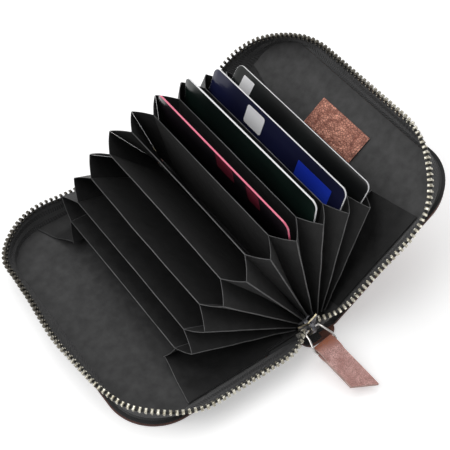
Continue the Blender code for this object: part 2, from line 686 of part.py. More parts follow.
def make_zip_ends(left_hinge, right_hinge, materials):
    """The soft ends of both tapes at the near and far end of the spine, and the three metal stops."""
    flank = SLIDER_MOUTH_WIDTH / 2 + CLEARANCE
    near_left = Vector((SLIDER_X - flank, SLIDER_Y, SLIDER_HEIGHT))
    near_right = Vector((SLIDER_X + flank, SLIDER_Y, SLIDER_HEIGHT))
    far_y = ZIP_LENGTH / 2 - FAR_END_INSET
    far_left = Vector((-SPINE_HALF / 2, far_y, SLIDER_HEIGHT))
    far_right = Vector((SPINE_HALF / 2, far_y, SLIDER_HEIGHT))
    make_end_run("left_zip_near_end", left_hinge, 1.0, near_left, materials)
    make_end_run("right_zip_near_end", right_hinge, -1.0, near_right, materials)
    make_end_run("left_zip_far_end", left_hinge, -1.0, far_left, materials)
    make_end_run("right_zip_far_end", right_hinge, 1.0, far_right, materials)
    tail = SLIDER_HEIGHT - SLIDER_LENGTH / 2 - STOP_LENGTH / 2 - CLEARANCE
    make_zip_stop("zip_bottom_stop", (SLIDER_X, SLIDER_Y, tail), None, materials)
    reach = CLEARANCE + STOP_LENGTH / 2
    make_zip_stop("left_top_stop", (far_left.x + reach, far_y, SLIDER_HEIGHT), None, materials)
    make_zip_stop("right_top_stop", (far_right.x - reach, far_y, SLIDER_HEIGHT), None, materials)


def build_wallet():
    """Clears the scene and makes every piece at its place."""
    for thing in list(bpy.data.objects):
        bpy.data.objects.remove(thing, do_unlink=True)
    materials = make_materials()
    left_hinge = add_pivot("left_cover_hinge", (-SPINE_HALF, 0.0, LINING_TOP))
    left_hinge.rotation_euler = (0.0, 0.0, math.pi)
    right_hinge = add_pivot("right_cover_hinge", (SPINE_HALF, 0.0, LINING_TOP), -RIGHT_COVER_RISE)
    bpy.context.view_layer.update()
    make_spine(materials)
    for side, hinge, phase, mirrored in (("left", left_hinge, 0.0, True), ("right", right_hinge, 0.5, False)):
        make_cover(side, hinge, materials)
        make_tape_wall(side, hinge, materials)
        make_tooth_chain(side, hinge, phase, mirrored, materials)
    for label, end_side in (("near", 1.0), ("far", -1.0)):
        make_flange(f"back_flange_{label}", left_hinge, end_side, BACK_FLANGE_REACH, BACK_FLANGE_BREADTH,
                    BACK_FLANGE_SLANT, materials)
        make_flange(f"front_flange_{label}", right_hinge, -end_side, FRONT_FLANGE_REACH, FRONT_FLANGE_BREADTH,
                    -FRONT_FLANGE_SLANT, materials)
    make_patch(right_hinge, materials)
    make_dividers(materials)
    make_gussets(materials)
    make_cards(materials)
    make_slider(materials)
    make_bail(materials)
    make_pull(materials)
    make_zip_ends(left_hinge, right_hinge, materials)
    bpy.context.view_layer.update()


build_wallet()
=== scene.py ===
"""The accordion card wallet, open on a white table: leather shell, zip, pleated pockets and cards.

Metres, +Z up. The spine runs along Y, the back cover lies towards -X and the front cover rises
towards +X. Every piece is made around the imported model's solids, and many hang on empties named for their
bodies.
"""

import math

import bmesh
import bpy
from mathutils import Matrix, Vector, noise


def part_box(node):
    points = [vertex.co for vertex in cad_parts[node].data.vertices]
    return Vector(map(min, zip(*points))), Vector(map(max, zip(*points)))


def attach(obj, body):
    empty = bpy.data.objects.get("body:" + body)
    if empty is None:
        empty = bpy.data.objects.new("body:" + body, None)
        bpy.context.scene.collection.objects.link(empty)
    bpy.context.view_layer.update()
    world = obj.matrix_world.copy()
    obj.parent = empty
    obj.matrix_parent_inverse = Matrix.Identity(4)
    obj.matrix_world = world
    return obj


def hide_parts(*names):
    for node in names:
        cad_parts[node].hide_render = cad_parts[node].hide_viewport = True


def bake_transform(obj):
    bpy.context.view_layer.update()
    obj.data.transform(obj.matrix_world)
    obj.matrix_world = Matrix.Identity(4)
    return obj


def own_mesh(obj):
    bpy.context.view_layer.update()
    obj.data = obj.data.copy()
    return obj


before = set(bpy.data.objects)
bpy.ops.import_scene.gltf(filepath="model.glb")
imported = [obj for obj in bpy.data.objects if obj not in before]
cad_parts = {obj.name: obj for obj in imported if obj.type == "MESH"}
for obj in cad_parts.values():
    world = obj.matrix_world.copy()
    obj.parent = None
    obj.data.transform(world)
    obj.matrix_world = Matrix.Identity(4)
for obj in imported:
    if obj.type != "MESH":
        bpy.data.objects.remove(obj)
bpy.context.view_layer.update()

# Sizes of the wallet
SPINE_HALF = 0.0080
LINING_TOP = 0.0026
FRONT_RISE = math.radians(38.7)
LEATHER_DROP = 0.00215
LEATHER_THICKNESS = 0.0009
COVER_REACH = 0.0775
COVER_HALF = 0.0572
COVER_CORNER = 0.0180
END_TAB_HALF = 0.0605
END_TAB_RADIUS = 0.0040
LINING_REACH = 0.0750
LINING_HALF = 0.0547
LINING_CORNER = 0.0155
LINING_THICKNESS = 0.0004
WALL_START = 0.0140
WALL_FOOT = (0.0751, 0.0548, 0.0156, -0.0003)
WALL_TOP = (0.0807, 0.06065, 0.0345, 0.0066)
TAPE_THICKNESS = 0.00045
TOOTH_PITCH = 0.0023

# The accordion
DIVIDER_LEANS = [math.radians(a) for a in (-77.4, -66.4, -52.7, -39.2, -25.9,
                                           -14.4, -1.1, 12.2, 25.4, 36.3)]
DIVIDER_PITCH = (2 * SPINE_HALF - 0.00266) / 9
ACCORDION_SHIFT = 0.0017
SEAM_Z = LINING_TOP + 0.0015
DIVIDER_FOOT = 0.0008
DIVIDER_HEIGHT = 0.04975
DIVIDER_FOOT_HALF = 0.0441
DIVIDER_TOP_HALF = 0.0387
RIDGE_FOOT_HALF = 0.0540
RIDGE_TOP_HALF = 0.04725
PLEAT_FOOT = 0.0024
DIVIDER_THICKNESS = 0.0003
PLEAT_THICKNESS = 0.00022

# The cards
CARD_SIZE = (0.00076, 0.0856, 0.05398)
CARD_CORNER = 0.0032
CARD_FOOT = 0.0033
CARD_POCKETS = (6, 7, 8, 9)
CARD_LEANS = [math.radians(a) for a in (-9.0, 4.4, 18.1, 30.1)]
CARD_SHIFTS = (-0.0018, -0.0005, -0.0006, -0.0004)

# The slider, its bail and the pull
SLIDER = Vector((-0.0052, -0.05535, 0.0110))
SLIDER_TILT = math.radians(-14.0)
BAIL_YAW = math.radians(7.0)
BAIL_DIP = math.radians(20.0)
PULL_DIP = math.radians(12.0)
BAIL_LENGTH = 0.0094

# How far the lining and its hem draw back beside the slider, which they pass as the wallet closes.
# They do so up to a distance from the crease, and this fades out over a short length
SLIDER_RELIEF = 0.0019
RELIEF_REACH = 0.0135
RELIEF_FADE = 0.0040

# The outermost pleats, which fold inwards, and their hems, which lie on the linings. The keys are
# the side and the end along Y
INNER_RIDGE = 0.0340
HEM_START = 0.0060
HEM_HALF = 0.0542
HEM_LIFT = 0.00050
HEM_REACH = {("left", -1.0): 0.0530, ("left", 1.0): 0.0570, ("right", -1.0): 0.0538, ("right", 1.0): 0.0538}
TIP_LIFT = {("left", -1.0): 0.0016, ("left", 1.0): 0.0034, ("right", -1.0): 0.0022, ("right", 1.0): 0.0022}

# The two covers along X, and how much rounder the back one's corners are. The two ends along Y
SIDES = ("left", "right")
SIGN = {"left": -1.0, "right": 1.0}
ROUNDER = {"left": 0.0035, "right": 0.0}
ENDS = {-1.0: "near", 1.0: "far"}

# How far the tops of the walls drift towards the near end, how far from the crease this starts to
# fade, and over what length
WALL_DRIFT = {("left", -1.0): (0.0017, 0.050, 0.020), ("left", 1.0): (0.0031, 0.036, 0.030),
              ("right", -1.0): (-0.0010, 0.020, 0.030), ("right", 1.0): (0.0016, 0.012, 0.033)}

# Table, lamps (name, place, size, power) and camera
TABLE_DROP = 0.0004
TABLE_GLOW = 0.33
SKY_STRENGTH = 0.50
LAMPS = (("key", (0.12, 0.52, 0.95), 0.95, 3.3), ("side", (-0.64, 0.12, 0.82), 0.9, 4.2))
CAMERA_LENS = 88.77
CAMERA_PLACE = (-0.17570, -0.23756, 0.37402)
CAMERA_TARGET = (-0.00922, -0.00601, 0.02593)


# Small helpers

def deselect():
    bpy.ops.object.select_all(action="DESELECT")


def make_active(thing):
    deselect()
    thing.select_set(True)
    bpy.context.view_layer.objects.active = thing


def named(name, *materials):
    """Names the new active object and gives it its materials."""
    thing = bpy.context.active_object
    thing.name = name
    thing.data.name = name
    for material in materials:
        thing.data.materials.append(material)
    return thing


def settle(thing):
    """Puts the object's place into its mesh."""
    make_active(thing)
    bpy.ops.object.transform_apply(location=True, rotation=True, scale=True)


def apply_all(thing):
    make_active(thing)
    for modifier in list(thing.modifiers):
        bpy.ops.object.modifier_apply(modifier=modifier.name)


def shade(thing, degrees):
    make_active(thing)
    bpy.ops.object.shade_smooth_by_angle(angle=math.radians(degrees))


def edit_all():
    """Opens the active mesh with all of it selected."""
    bpy.ops.object.mode_set(mode="EDIT")
    bpy.ops.mesh.select_all(action="SELECT")


def face_out(thing):
    make_active(thing)
    edit_all()
    bpy.ops.mesh.remove_doubles(threshold=0.000001)
    bpy.ops.mesh.normals_make_consistent(inside=False)
    bpy.ops.object.mode_set(mode="OBJECT")


def round_edges(thing, width, material=-1):
    """Rounds the sharp edges. Their faces take the numbered material, or that of their neighbours for -1."""
    rounding = thing.modifiers.new("rounding", "BEVEL")
    rounding.width = width
    rounding.segments = 2
    rounding.limit_method = "ANGLE"
    rounding.material = material
    apply_all(thing)


def join(name, things):
    deselect()
    for thing in things:
        thing.select_set(True)
    bpy.context.view_layer.objects.active = things[0]
    bpy.ops.object.join()
    joined = bpy.context.active_object
    joined.name = name
    joined.data.name = name
    return joined


def smooth(share):
    share = min(1.0, max(0.0, share))
    return share * share * (3 - 2 * share)


def cloth_sheet(name, columns, rows, place, materials, thickness, uv_size=(1.0, 1.0)):
    """A grid whose points go to place(s, t), thickened on both sides. Its rim takes the last material."""
    deselect()
    bpy.ops.mesh.primitive_grid_add(x_subdivisions=columns, y_subdivisions=rows, size=1.0)
    sheet = named(name, *materials)
    for vertex in sheet.data.vertices:
        vertex.co = place(vertex.co.x + 0.5, vertex.co.y + 0.5)
    for corner in sheet.data.uv_layers.active.data:
        corner.uv = (corner.uv[0] * uv_size[0], corner.uv[1] * uv_size[1])
    wall = sheet.modifiers.new("wall", "SOLIDIFY")
    wall.thickness = thickness
    wall.offset = 0.0
    wall.material_offset_rim = len(materials) - 1
    apply_all(sheet)
    shade(sheet, 50)
    return sheet


def outline_plate(name, outline, depth, material, bevel=0.0):
    """A closed plate: an outline in X and Z, thick along Y, its edges rounded."""
    deselect()
    bpy.ops.mesh.primitive_circle_add(vertices=len(outline), fill_type="NGON")
    plate = named(name, material)
    for vertex, (x, z) in zip(plate.data.vertices, outline):
        vertex.co = (x, -depth / 2, z)
    edit_all()
    bpy.ops.mesh.extrude_region_move(TRANSFORM_OT_translate={"value": (0.0, depth, 0.0)})
    bpy.ops.object.mode_set(mode="OBJECT")
    face_out(plate)
    if bevel:
        round_edges(plate, bevel)
    shade(plate, 35)
    return plate


def add_object(name, data):
    """A new object of the scene around finished data."""
    thing = bpy.data.objects.new(name, data)
    bpy.context.scene.collection.objects.link(thing)
    return thing


def wire(name, points, radius, material, closed=False, rounds=3):
    """A round wire through smooth points."""
    curve = bpy.data.curves.new(name, "CURVE")
    curve.dimensions = "3D"
    spline = curve.splines.new("POLY")
    spline.points.add(len(points) - 1)
    for point, place in zip(spline.points, points):
        point.co = (*place, 1.0)
    spline.use_cyclic_u = closed
    curve.bevel_depth = radius
    curve.bevel_resolution = rounds
    curve.use_fill_caps = not closed
    make_active(add_object(name, curve))
    bpy.ops.object.convert(target="MESH")
    thing = bpy.context.active_object
    thing.data.materials.append(material)
    face_out(thing)
    shade(thing, 60)
    return thing


def smooth_line(points, steps, closed=False):
    """Points on a Catmull-Rom curve through the given ones."""
    if closed:
        through = [points[-1], *points, *points[:2]]
    else:
        through = [2 * points[0] - points[1], *points, 2 * points[-1] - points[-2]]
    line = []
    for a, b, c, d in zip(through, through[1:], through[2:], through[3:]):
        for step in range(steps):
            t = step / steps
            line.append(0.5 * (2 * b + (c - a) * t + (2 * a - 5 * b + 4 * c - d) * t * t
                               + (3 * b - a - 3 * c + d) * t * t * t))
    return line if closed else line + [points[-1]]


def walk(line, pitch, phase):
    """Places and directions at even steps along a polyline, with the segment that each is on."""
    steps, travelled, target = [], 0.0, phase
    for i, (a, b) in enumerate(zip(line, line[1:])):
        length = (b - a).length
        while target <= travelled + length:
            share = (target - travelled) / length
            steps.append((a.lerp(b, share), (b - a).normalized(), i, share))
            target += pitch
        travelled += length
    return steps


def turned(along, across, up, place):
    turn = Matrix((along, across, up)).transposed().to_4x4()
    turn.translation = place
    return turn


def take_mesh(thing):
    """The mesh of a finished pattern, which leaves the scene itself."""
    mesh = thing.data.copy()
    bpy.data.objects.remove(thing, do_unlink=True)
    return mesh


def row_of_copies(name, pattern, turns, material, degrees):
    """One mesh that holds the pattern once for each turn."""
    work = bmesh.new()
    for turn in turns:
        before = len(work.verts)
        work.from_mesh(pattern)
        work.verts.ensure_lookup_table()
        bmesh.ops.transform(work, matrix=turn, verts=work.verts[before:])
    mesh = bpy.data.meshes.new(name)
    work.to_mesh(mesh)
    work.free()
    mesh.materials.append(material)
    row = add_object(name, mesh)
    shade(row, degrees)
    return row


# Finishes

def socket_group(name, vector, values, outputs):
    """A shader node group with a vector socket, numbers with their usual values, and named outputs."""
    group = bpy.data.node_groups.new(name, "ShaderNodeTree")
    group.interface.new_socket(name=vector, in_out="INPUT", socket_type="NodeSocketVector")
    for label, value in values.items():
        socket = group.interface.new_socket(name=label, in_out="INPUT", socket_type="NodeSocketFloat")
        socket.default_value = value
    for label in outputs:
        group.interface.new_socket(name=label, in_out="OUTPUT", socket_type="NodeSocketFloat")
    given, made = group.nodes.new("NodeGroupInput"), group.nodes.new("NodeGroupOutput")
    return group, given.outputs, made.inputs


def feed(links, socket, value):
    """Gives a socket a number, a colour or what another node makes."""
    if isinstance(value, (int, float)):
        socket.default_value = value
    elif isinstance(value, tuple):
        socket.default_value = (*value, 1.0)
    else:
        links.new(value, socket)


def ramp_node(nodes, stops):
    ramp = nodes.new("ShaderNodeValToRGB")
    while len(ramp.color_ramp.elements) < len(stops):
        ramp.color_ramp.elements.new(0.5)
    for element, (place, value) in zip(ramp.color_ramp.elements, stops):
        element.position = place
        element.color = (value, value, value, 1.0)
    return ramp


def math_node(nodes, links, operation, first, second):
    node = nodes.new("ShaderNodeMath")
    node.operation = operation
    feed(links, node.inputs[0], first)
    feed(links, node.inputs[1], second)
    return node.outputs[0]


def noise_node(nodes, links, vector, scale, detail=2.0, distortion=0.0):
    node = nodes.new("ShaderNodeTexNoise")
    given = {"Vector": vector, "Scale": scale, "Detail": detail, "Distortion": distortion}
    for label, value in given.items():
        feed(links, node.inputs[label], value)
    return node.outputs["Fac"]


def grain_group():
    """Leather grain: pebbles between fine creases, with slow blotches of tone."""
    group, given, made = socket_group(
        "leather_grain", "Vector", {"Pebble Scale": 1400.0, "Blotch Scale": 120.0}, ("Height", "Tone", "Crease"))
    nodes, links = group.nodes, group.links
    bend = noise_node(nodes, links, given["Vector"], 600.0)
    pebbles = nodes.new("ShaderNodeTexVoronoi")
    pebbles.feature = "DISTANCE_TO_EDGE"
    links.new(given["Vector"], pebbles.inputs["Vector"])
    links.new(given["Pebble Scale"], pebbles.inputs["Scale"])
    ramp = ramp_node(nodes, ((0.0, 0.0), (0.22, 1.0)))
    links.new(pebbles.outputs["Distance"], ramp.inputs["Fac"])
    crease = ramp.outputs["Color"]
    links.new(math_node(nodes, links, "MULTIPLY", crease, bend), made["Height"])
    links.new(noise_node(nodes, links, given["Vector"], given["Blotch Scale"], 5.0), made["Tone"])
    links.new(crease, made["Crease"])
    return group


def weave_group():
    """Plain weave: fine threads both ways, with slubs."""
    group, given, made = socket_group("plain_weave", "Vector", {"Threads": 1100.0}, ("Height", "Slub"))
    nodes, links = group.nodes, group.links
    bands = []
    for direction in ("X", "Y", "Z"):
        band = nodes.new("ShaderNodeTexWave")
        band.bands_direction = direction
        band.inputs["Distortion"].default_value = 0.4
        links.new(given["Vector"], band.inputs["Vector"])
        links.new(given["Threads"], band.inputs["Scale"])
        bands.append(band.outputs["Fac"])
    crossed = math_node(nodes, links, "ADD", bands[0], math_node(nodes, links, "MAXIMUM", bands[1], bands[2]))
    links.new(crossed, made["Height"])
    links.new(noise_node(nodes, links, given["Vector"], 260.0, 6.0), made["Slub"])
    return group


def crumple_group():
    """Soft wrinkles of cloth that has been folded, without direction."""
    group, given, made = socket_group("soft_crumple", "Vector", {"Scale": 60.0}, ("Height",))
    folds = noise_node(group.nodes, group.links, given["Vector"], given["Scale"], 3.0, 0.6)
    group.links.new(folds, made["Height"])
    return group


def rib_group():
    """Herringbone of the zip tape, from a UV map in metres: slanted ribs that turn in each column."""
    group, given, made = socket_group(
        "tape_herringbone", "UV", {"Column": 0.0024, "Rib": 0.0011}, ("Height",))
    nodes, links = group.nodes, group.links

    def work(operation, first, second):
        return math_node(nodes, links, operation, first, second)

    split = nodes.new("ShaderNodeSeparateXYZ")
    links.new(given["UV"], split.inputs[0])
    zigzag = work("PINGPONG", work("DIVIDE", split.outputs["Y"], given["Column"]), 1.0)
    along = work("ADD", split.outputs["X"], work("MULTIPLY", zigzag, given["Column"]))
    ribs = work("PINGPONG", work("DIVIDE", along, given["Rib"]), 0.5)
    links.new(work("MULTIPLY", ribs, 2.0), made["Height"])
    return group


GROUPS = {"grain": grain_group(), "weave": weave_group(), "crumple": crumple_group(), "ribs": rib_group()}


def start_material(name, roughness, metallic=0.0):
    material = bpy.data.materials.new(name)
    material.use_nodes = True
    nodes, links = material.node_tree.nodes, material.node_tree.links
    shader = nodes["Principled BSDF"]
    shader.inputs["Roughness"].default_value = roughness
    shader.inputs["Metallic"].default_value = metallic
    place = nodes.new("ShaderNodeTexCoord")
    return material, nodes, links, shader, place.outputs


def use_group(nodes, links, label, vector, **values):
    node = nodes.new("ShaderNodeGroup")
    node.node_tree = GROUPS[label]
    links.new(vector, node.inputs[0])
    for key, value in values.items():
        node.inputs[key.replace("_", " ").title()].default_value = value
    return node.outputs


def tone_mix(nodes, links, mask, low, high, first, second):
    """Colour between two tones by a mask that is stretched from low..high to 0..1."""
    stretch = nodes.new("ShaderNodeMapRange")
    stretch.inputs["From Min"].default_value = low
    stretch.inputs["From Max"].default_value = high
    links.new(mask, stretch.inputs["Value"])
    mix = nodes.new("ShaderNodeMix")
    mix.data_type = "RGBA"
    links.new(stretch.outputs["Result"], mix.inputs["Factor"])
    feed(links, mix.inputs["A"], first)
    feed(links, mix.inputs["B"], second)
    return mix.outputs["Result"]


def fade_along(nodes, links, place, body, fade):
    """Lets a colour take over along Y. A fade is that colour and the two places between which it does."""
    if not fade:
        return body
    colour, low, high = fade
    split = nodes.new("ShaderNodeSeparateXYZ")
    links.new(place["Object"], split.inputs[0])
    return tone_mix(nodes, links, split.outputs["Y"], low, high, body, colour)


def add_bump(nodes, links, height, distance, strength, under=None):
    bump = nodes.new("ShaderNodeBump")
    bump.inputs["Distance"].default_value = distance
    bump.inputs["Strength"].default_value = strength
    links.new(height, bump.inputs["Height"])
    if under is not None:
        links.new(under, bump.inputs["Normal"])
    return bump.outputs["Normal"]


def leather_material(name, dark, light, roughness, pebble=1400.0, blotch=120.0, depth=0.00012, fold_tone=None):
    """Grained leather. A fold tone is a fade; on the pull it turns the fold round the bar darker and more
    orange.
    """
    material, nodes, links, shader, place = start_material(name, roughness)
    grain = use_group(nodes, links, "grain", place["Object"], pebble_scale=pebble, blotch_scale=blotch)
    body = tone_mix(nodes, links, grain["Tone"], 0.35, 0.68, dark, light)
    body = fade_along(nodes, links, place, body, fold_tone)
    creased = tone_mix(nodes, links, grain["Crease"], 0.0, 0.7, tuple(c * 0.55 for c in dark), body)
    links.new(creased, shader.inputs["Base Color"])
    links.new(add_bump(nodes, links, grain["Height"], depth, 0.6), shader.inputs["Normal"])
    return material


def cloth_material(name, dark, light, roughness, threads=1100.0, crumple=60.0, crumple_depth=0.0012,
                   sheen=0.15, gloss=0.5, far_tone=None):
    """Woven cloth. A far tone is a fade: a colour that takes over along Y."""
    material, nodes, links, shader, place = start_material(name, roughness)
    shader.inputs["Sheen Weight"].default_value = sheen
    shader.inputs["Specular IOR Level"].default_value = gloss
    weave = use_group(nodes, links, "weave", place["Object"], threads=threads)
    folds = use_group(nodes, links, "crumple", place["Object"], scale=crumple)
    body = tone_mix(nodes, links, weave["Slub"], 0.3, 0.7, dark, light)
    links.new(fade_along(nodes, links, place, body, far_tone), shader.inputs["Base Color"])
    soft = add_bump(nodes, links, folds["Height"], crumple_depth, 0.5)
    links.new(add_bump(nodes, links, weave["Height"], 0.00003, 0.35, soft), shader.inputs["Normal"])
    return material


def tape_material():
    material, nodes, links, shader, place = start_material("black_zip_tape_weave", 0.72)
    shader.inputs["Sheen Weight"].default_value = 0.2
    ribs = use_group(nodes, links, "ribs", place["UV"])["Height"]
    colour = tone_mix(nodes, links, ribs, 0.1, 0.9, (0.009, 0.009, 0.009), (0.027, 0.027, 0.029))
    links.new(colour, shader.inputs["Base Color"])
    links.new(add_bump(nodes, links, ribs, 0.00025, 0.9), shader.inputs["Normal"])
    return material


def metal_material(name, dark, light, roughness, scale=900.0, far_painted_shade=None):
    """Worn metal. A far painted shade is a fade: painted shade, a darker tone that takes over along Y."""
    material, nodes, links, shader, place = start_material(name, roughness, 1.0)
    patina = noise_node(nodes, links, place["Object"], scale, 4.0)
    body = tone_mix(nodes, links, patina, 0.35, 0.65, dark, light)
    links.new(fade_along(nodes, links, place, body, far_painted_shade), shader.inputs["Base Color"])
    rough = nodes.new("ShaderNodeMapRange")
    rough.inputs["To Min"].default_value = roughness * 0.7
    rough.inputs["To Max"].default_value = roughness * 1.4
    links.new(patina, rough.inputs["Value"])
    links.new(rough.outputs["Result"], shader.inputs["Roughness"])
    links.new(add_bump(nodes, links, patina, 0.00005, 0.3), shader.inputs["Normal"])
    return material


def card_material(name, dark, light):
    material, nodes, links, shader, place = start_material(name, 0.28)
    shader.inputs["Coat Weight"].default_value = 0.4
    shader.inputs["Coat Roughness"].default_value = 0.12
    drift = noise_node(nodes, links, place["Object"], 28.0, 1.0)
    links.new(tone_mix(nodes, links, drift, 0.35, 0.65, dark, light), shader.inputs["Base Color"])
    return material


LEATHER = leather_material("brown_shell_leather", (0.13, 0.050, 0.034), (0.26, 0.110, 0.075), 0.50)
LEATHER_EDGE = leather_material("cut_leather_edge", (0.46, 0.30, 0.26), (0.76, 0.56, 0.50), 0.80,
                                2600.0, 300.0)
SHELL_EDGE = leather_material("painted_leather_edge", (0.060, 0.030, 0.027), (0.21, 0.105, 0.095), 0.70,
                              2600.0, 60.0)
# The pull turns darker and more orange over its fold round the bar.
PULL_LEATHER = leather_material("pull_leather", (0.52, 0.265, 0.235), (0.88, 0.540, 0.500), 0.48,
                                1700.0, 260.0, 0.00022, ((0.34, 0.090, 0.025), -0.0700, -0.0664))
PATCH_LEATHER = leather_material("patch_leather", (0.27, 0.085, 0.055), (0.90, 0.420, 0.300), 0.62,
                                 900.0, 330.0, 0.0003)
LINING = cloth_material("black_lining_cloth", (0.014, 0.014, 0.0145), (0.035, 0.035, 0.0355), 0.60,
                        sheen=0.12, gloss=0.42)
# The front lining is the back lining's cloth painted lighter: painted light, for the brighter light and sheen on
# its raised face.
FRONT_LINING_PAINTED_LIGHT = cloth_material("black_lining_cloth_painted_lighter", (0.024, 0.024, 0.0243), (0.048, 0.048, 0.0484),
                              0.60, sheen=0.16, gloss=0.42)
POCKET = cloth_material("black_pocket_cloth", (0.0060, 0.0060, 0.0062), (0.0125, 0.0125, 0.0128), 0.55,
                        1500.0, 80.0, 0.0009, 0.05, 0.31)
# The fold edges are pale, and darker towards the far end.
FOLD_EDGE = cloth_material("pale_fold_edge", (0.060, 0.060, 0.061), (0.110, 0.110, 0.112), 0.45,
                           far_tone=((0.022, 0.022, 0.023), 0.010, 0.034))
TAPE = tape_material()
# The teeth darken towards the far end: painted shade, for the far rows that catch less light.
TEETH = metal_material("antique_teeth_far_painted_shade", (0.36, 0.33, 0.25), (0.92, 0.89, 0.78), 0.36, 700.0,
                       ((0.13, 0.12, 0.10), -0.046, 0.012))
BRASS = metal_material("slider_brass", (0.46, 0.38, 0.22), (0.80, 0.72, 0.52), 0.28)
GUNMETAL = metal_material("slider_gunmetal", (0.10, 0.10, 0.11), (0.30, 0.30, 0.32), 0.38)
STEEL = metal_material("bail_steel", (0.62, 0.60, 0.58), (0.88, 0.86, 0.84), 0.22)
BOARD = cloth_material("grey_board", (0.25, 0.24, 0.22), (0.36, 0.35, 0.33), 0.9)
THREAD = cloth_material("brown_thread", (0.16, 0.07, 0.05), (0.30, 0.15, 0.11), 0.7)


# Where things are on the wallet

def cover_point(side, reach, along, lift):
    """A point on a cover: its distance from the crease, place along Y and height above the lining."""
    if side == "left":
        return Vector((-SPINE_HALF - reach, along, LINING_TOP + lift))
    c, s = math.cos(FRONT_RISE), math.sin(FRONT_RISE)
    return Vector((SPINE_HALF + reach * c - lift * s, along, LINING_TOP + reach * s + lift * c))


def cover_out(side):
    """The way straight out of a cover's inner face."""
    return cover_point(side, 0, 0, 1) - cover_point(side, 0, 0, 0)


def shell_point(side, distance, along, drop):
    """A point of a layer that bends round the crease, by its distance from the middle of the spine."""
    sign = SIGN[side]
    bend = 0.0 if side == "left" else FRONT_RISE
    arc = bend * drop
    if distance <= SPINE_HALF:
        return Vector((sign * distance, along, LINING_TOP - drop))
    if distance < SPINE_HALF + arc:
        turn = (distance - SPINE_HALF) / drop
        reach = SPINE_HALF + drop * math.sin(turn)
        return Vector((sign * reach, along, LINING_TOP - drop * math.cos(turn)))
    return cover_point(side, distance - SPINE_HALF - arc, along, -drop)


def outline_half(reach, full_reach, full_half, corner):
    """Half the length of a cover's layer at a distance from its crease."""
    past = reach - (full_reach - corner)
    if past <= 0:
        return full_half
    return full_half - corner + math.sqrt(max(0.0, corner * corner - past * past))


def even_reach(share, full_reach, corner, start=0.0):
    """Spreads columns so that they crowd towards the round corners."""
    flat_share = 0.55
    if share < flat_share:
        return start + (full_reach - corner - start) * share / flat_share
    turn = (share - flat_share) / (1 - flat_share) * math.pi / 2
    return full_reach - corner + corner * math.sin(turn)


def relief_share(reach):
    """How much of the slider's relief there is at a distance from the crease."""
    return 1 - smooth((reach - RELIEF_REACH) / RELIEF_FADE)


def divider_base(index):
    return Vector(((index - 4.5) * DIVIDER_PITCH, ACCORDION_SHIFT, SEAM_Z))


def lean_frame(lean):
    """The way up along a leaning panel, and its normal towards +X."""
    return Vector((math.sin(lean), 0.0, math.cos(lean))), Vector((math.cos(lean), 0.0, -math.sin(lean)))


def fold_half(height):
    share = (height - DIVIDER_FOOT) / (DIVIDER_HEIGHT - DIVIDER_FOOT)
    return DIVIDER_FOOT_HALF + (DIVIDER_TOP_HALF - DIVIDER_FOOT_HALF) * share


def ridge_half(height):
    share = (height - PLEAT_FOOT) / (DIVIDER_HEIGHT - PLEAT_FOOT)
    return RIDGE_FOOT_HALF + (RIDGE_TOP_HALF - RIDGE_FOOT_HALF) * share


def panel_line(index, height):
    """The point at y = 0 of divider index, or of a cover for -1 and 10, at a height along it."""
    if not 0 <= index <= 9:
        return cover_point("left" if index < 0 else "right", height, 0.0, 0.0009)
    up, _ = lean_frame(DIVIDER_LEANS[index])
    place = divider_base(index) + up * height
    place.y = 0.0
    return place


# Leather shell, linings and boards

def make_shell(side):
    """Half of the outer leather, from the middle of the spine to the cover's edge, with its end tabs."""
    full = SPINE_HALF + COVER_REACH
    corner = COVER_CORNER + ROUNDER[side]
    spine_share = 0.25

    def half_at(distance):
        past = max(0.0, distance - (SPINE_HALF - END_TAB_RADIUS))
        tab = 0.0
        if distance <= SPINE_HALF:
            tab = END_TAB_HALF - END_TAB_RADIUS + math.sqrt(max(0.0, END_TAB_RADIUS ** 2 - past ** 2))
        return max(tab, outline_half(distance, full, COVER_HALF, corner))

    def place(s, t):
        distance = SPINE_HALF * s / spine_share
        if s >= spine_share:
            distance = even_reach((s - spine_share) / (1 - spine_share), full, corner, SPINE_HALF)
        return shell_point(side, distance, (2 * t - 1) * half_at(distance), LEATHER_DROP)

    shell = cloth_sheet(f"{side}_shell", 96, 60, place, (LEATHER, SHELL_EDGE), LEATHER_THICKNESS)
    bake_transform(shell)
    nodes = [f"{side}_cover_leather"] + (["spine_leather"] if side == "left" else [])
    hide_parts(*nodes)


def make_lining(side):
    """Half of the inner cloth, with soft puckers along its border."""
    full = SPINE_HALF + LINING_REACH
    corner = LINING_CORNER + ROUNDER[side]
    back = side == "left"
    out = cover_out(side)

    def place(s, t):
        distance = even_reach(s, full, corner)
        half = outline_half(distance, full, LINING_HALF, corner)
        along = (2 * t - 1) * half
        if back and along < 0:
            along *= 1 - SLIDER_RELIEF / half * relief_share(distance - SPINE_HALF)
        edge = min(full - distance, half - abs(along))
        pucker = 0.00012 * math.sin(along * 900) * math.exp(-edge / 0.004) if back else 0.0
        sag = 0.00008 * noise.noise(Vector((distance * 45, along * 45, 3.0 if back else 7.0)))
        point = shell_point(side, distance, along, LINING_THICKNESS / 2 + 0.0001)
        return point + out * (pucker + sag if distance > SPINE_HALF else 0.0)

    # The front half takes the lighter copy of the cloth, which paints light onto it.
    cloth = LINING if back else FRONT_LINING_PAINTED_LIGHT
    lining = cloth_sheet(f"{side}_inner_cloth", 90, 90, place, (cloth,), LINING_THICKNESS)
    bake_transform(lining)
    nodes = [f"{side}_lining"] + (["spine_lining"] if side == "left" else [])
    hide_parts(*nodes)


# Zip: tape walls, teeth and stops

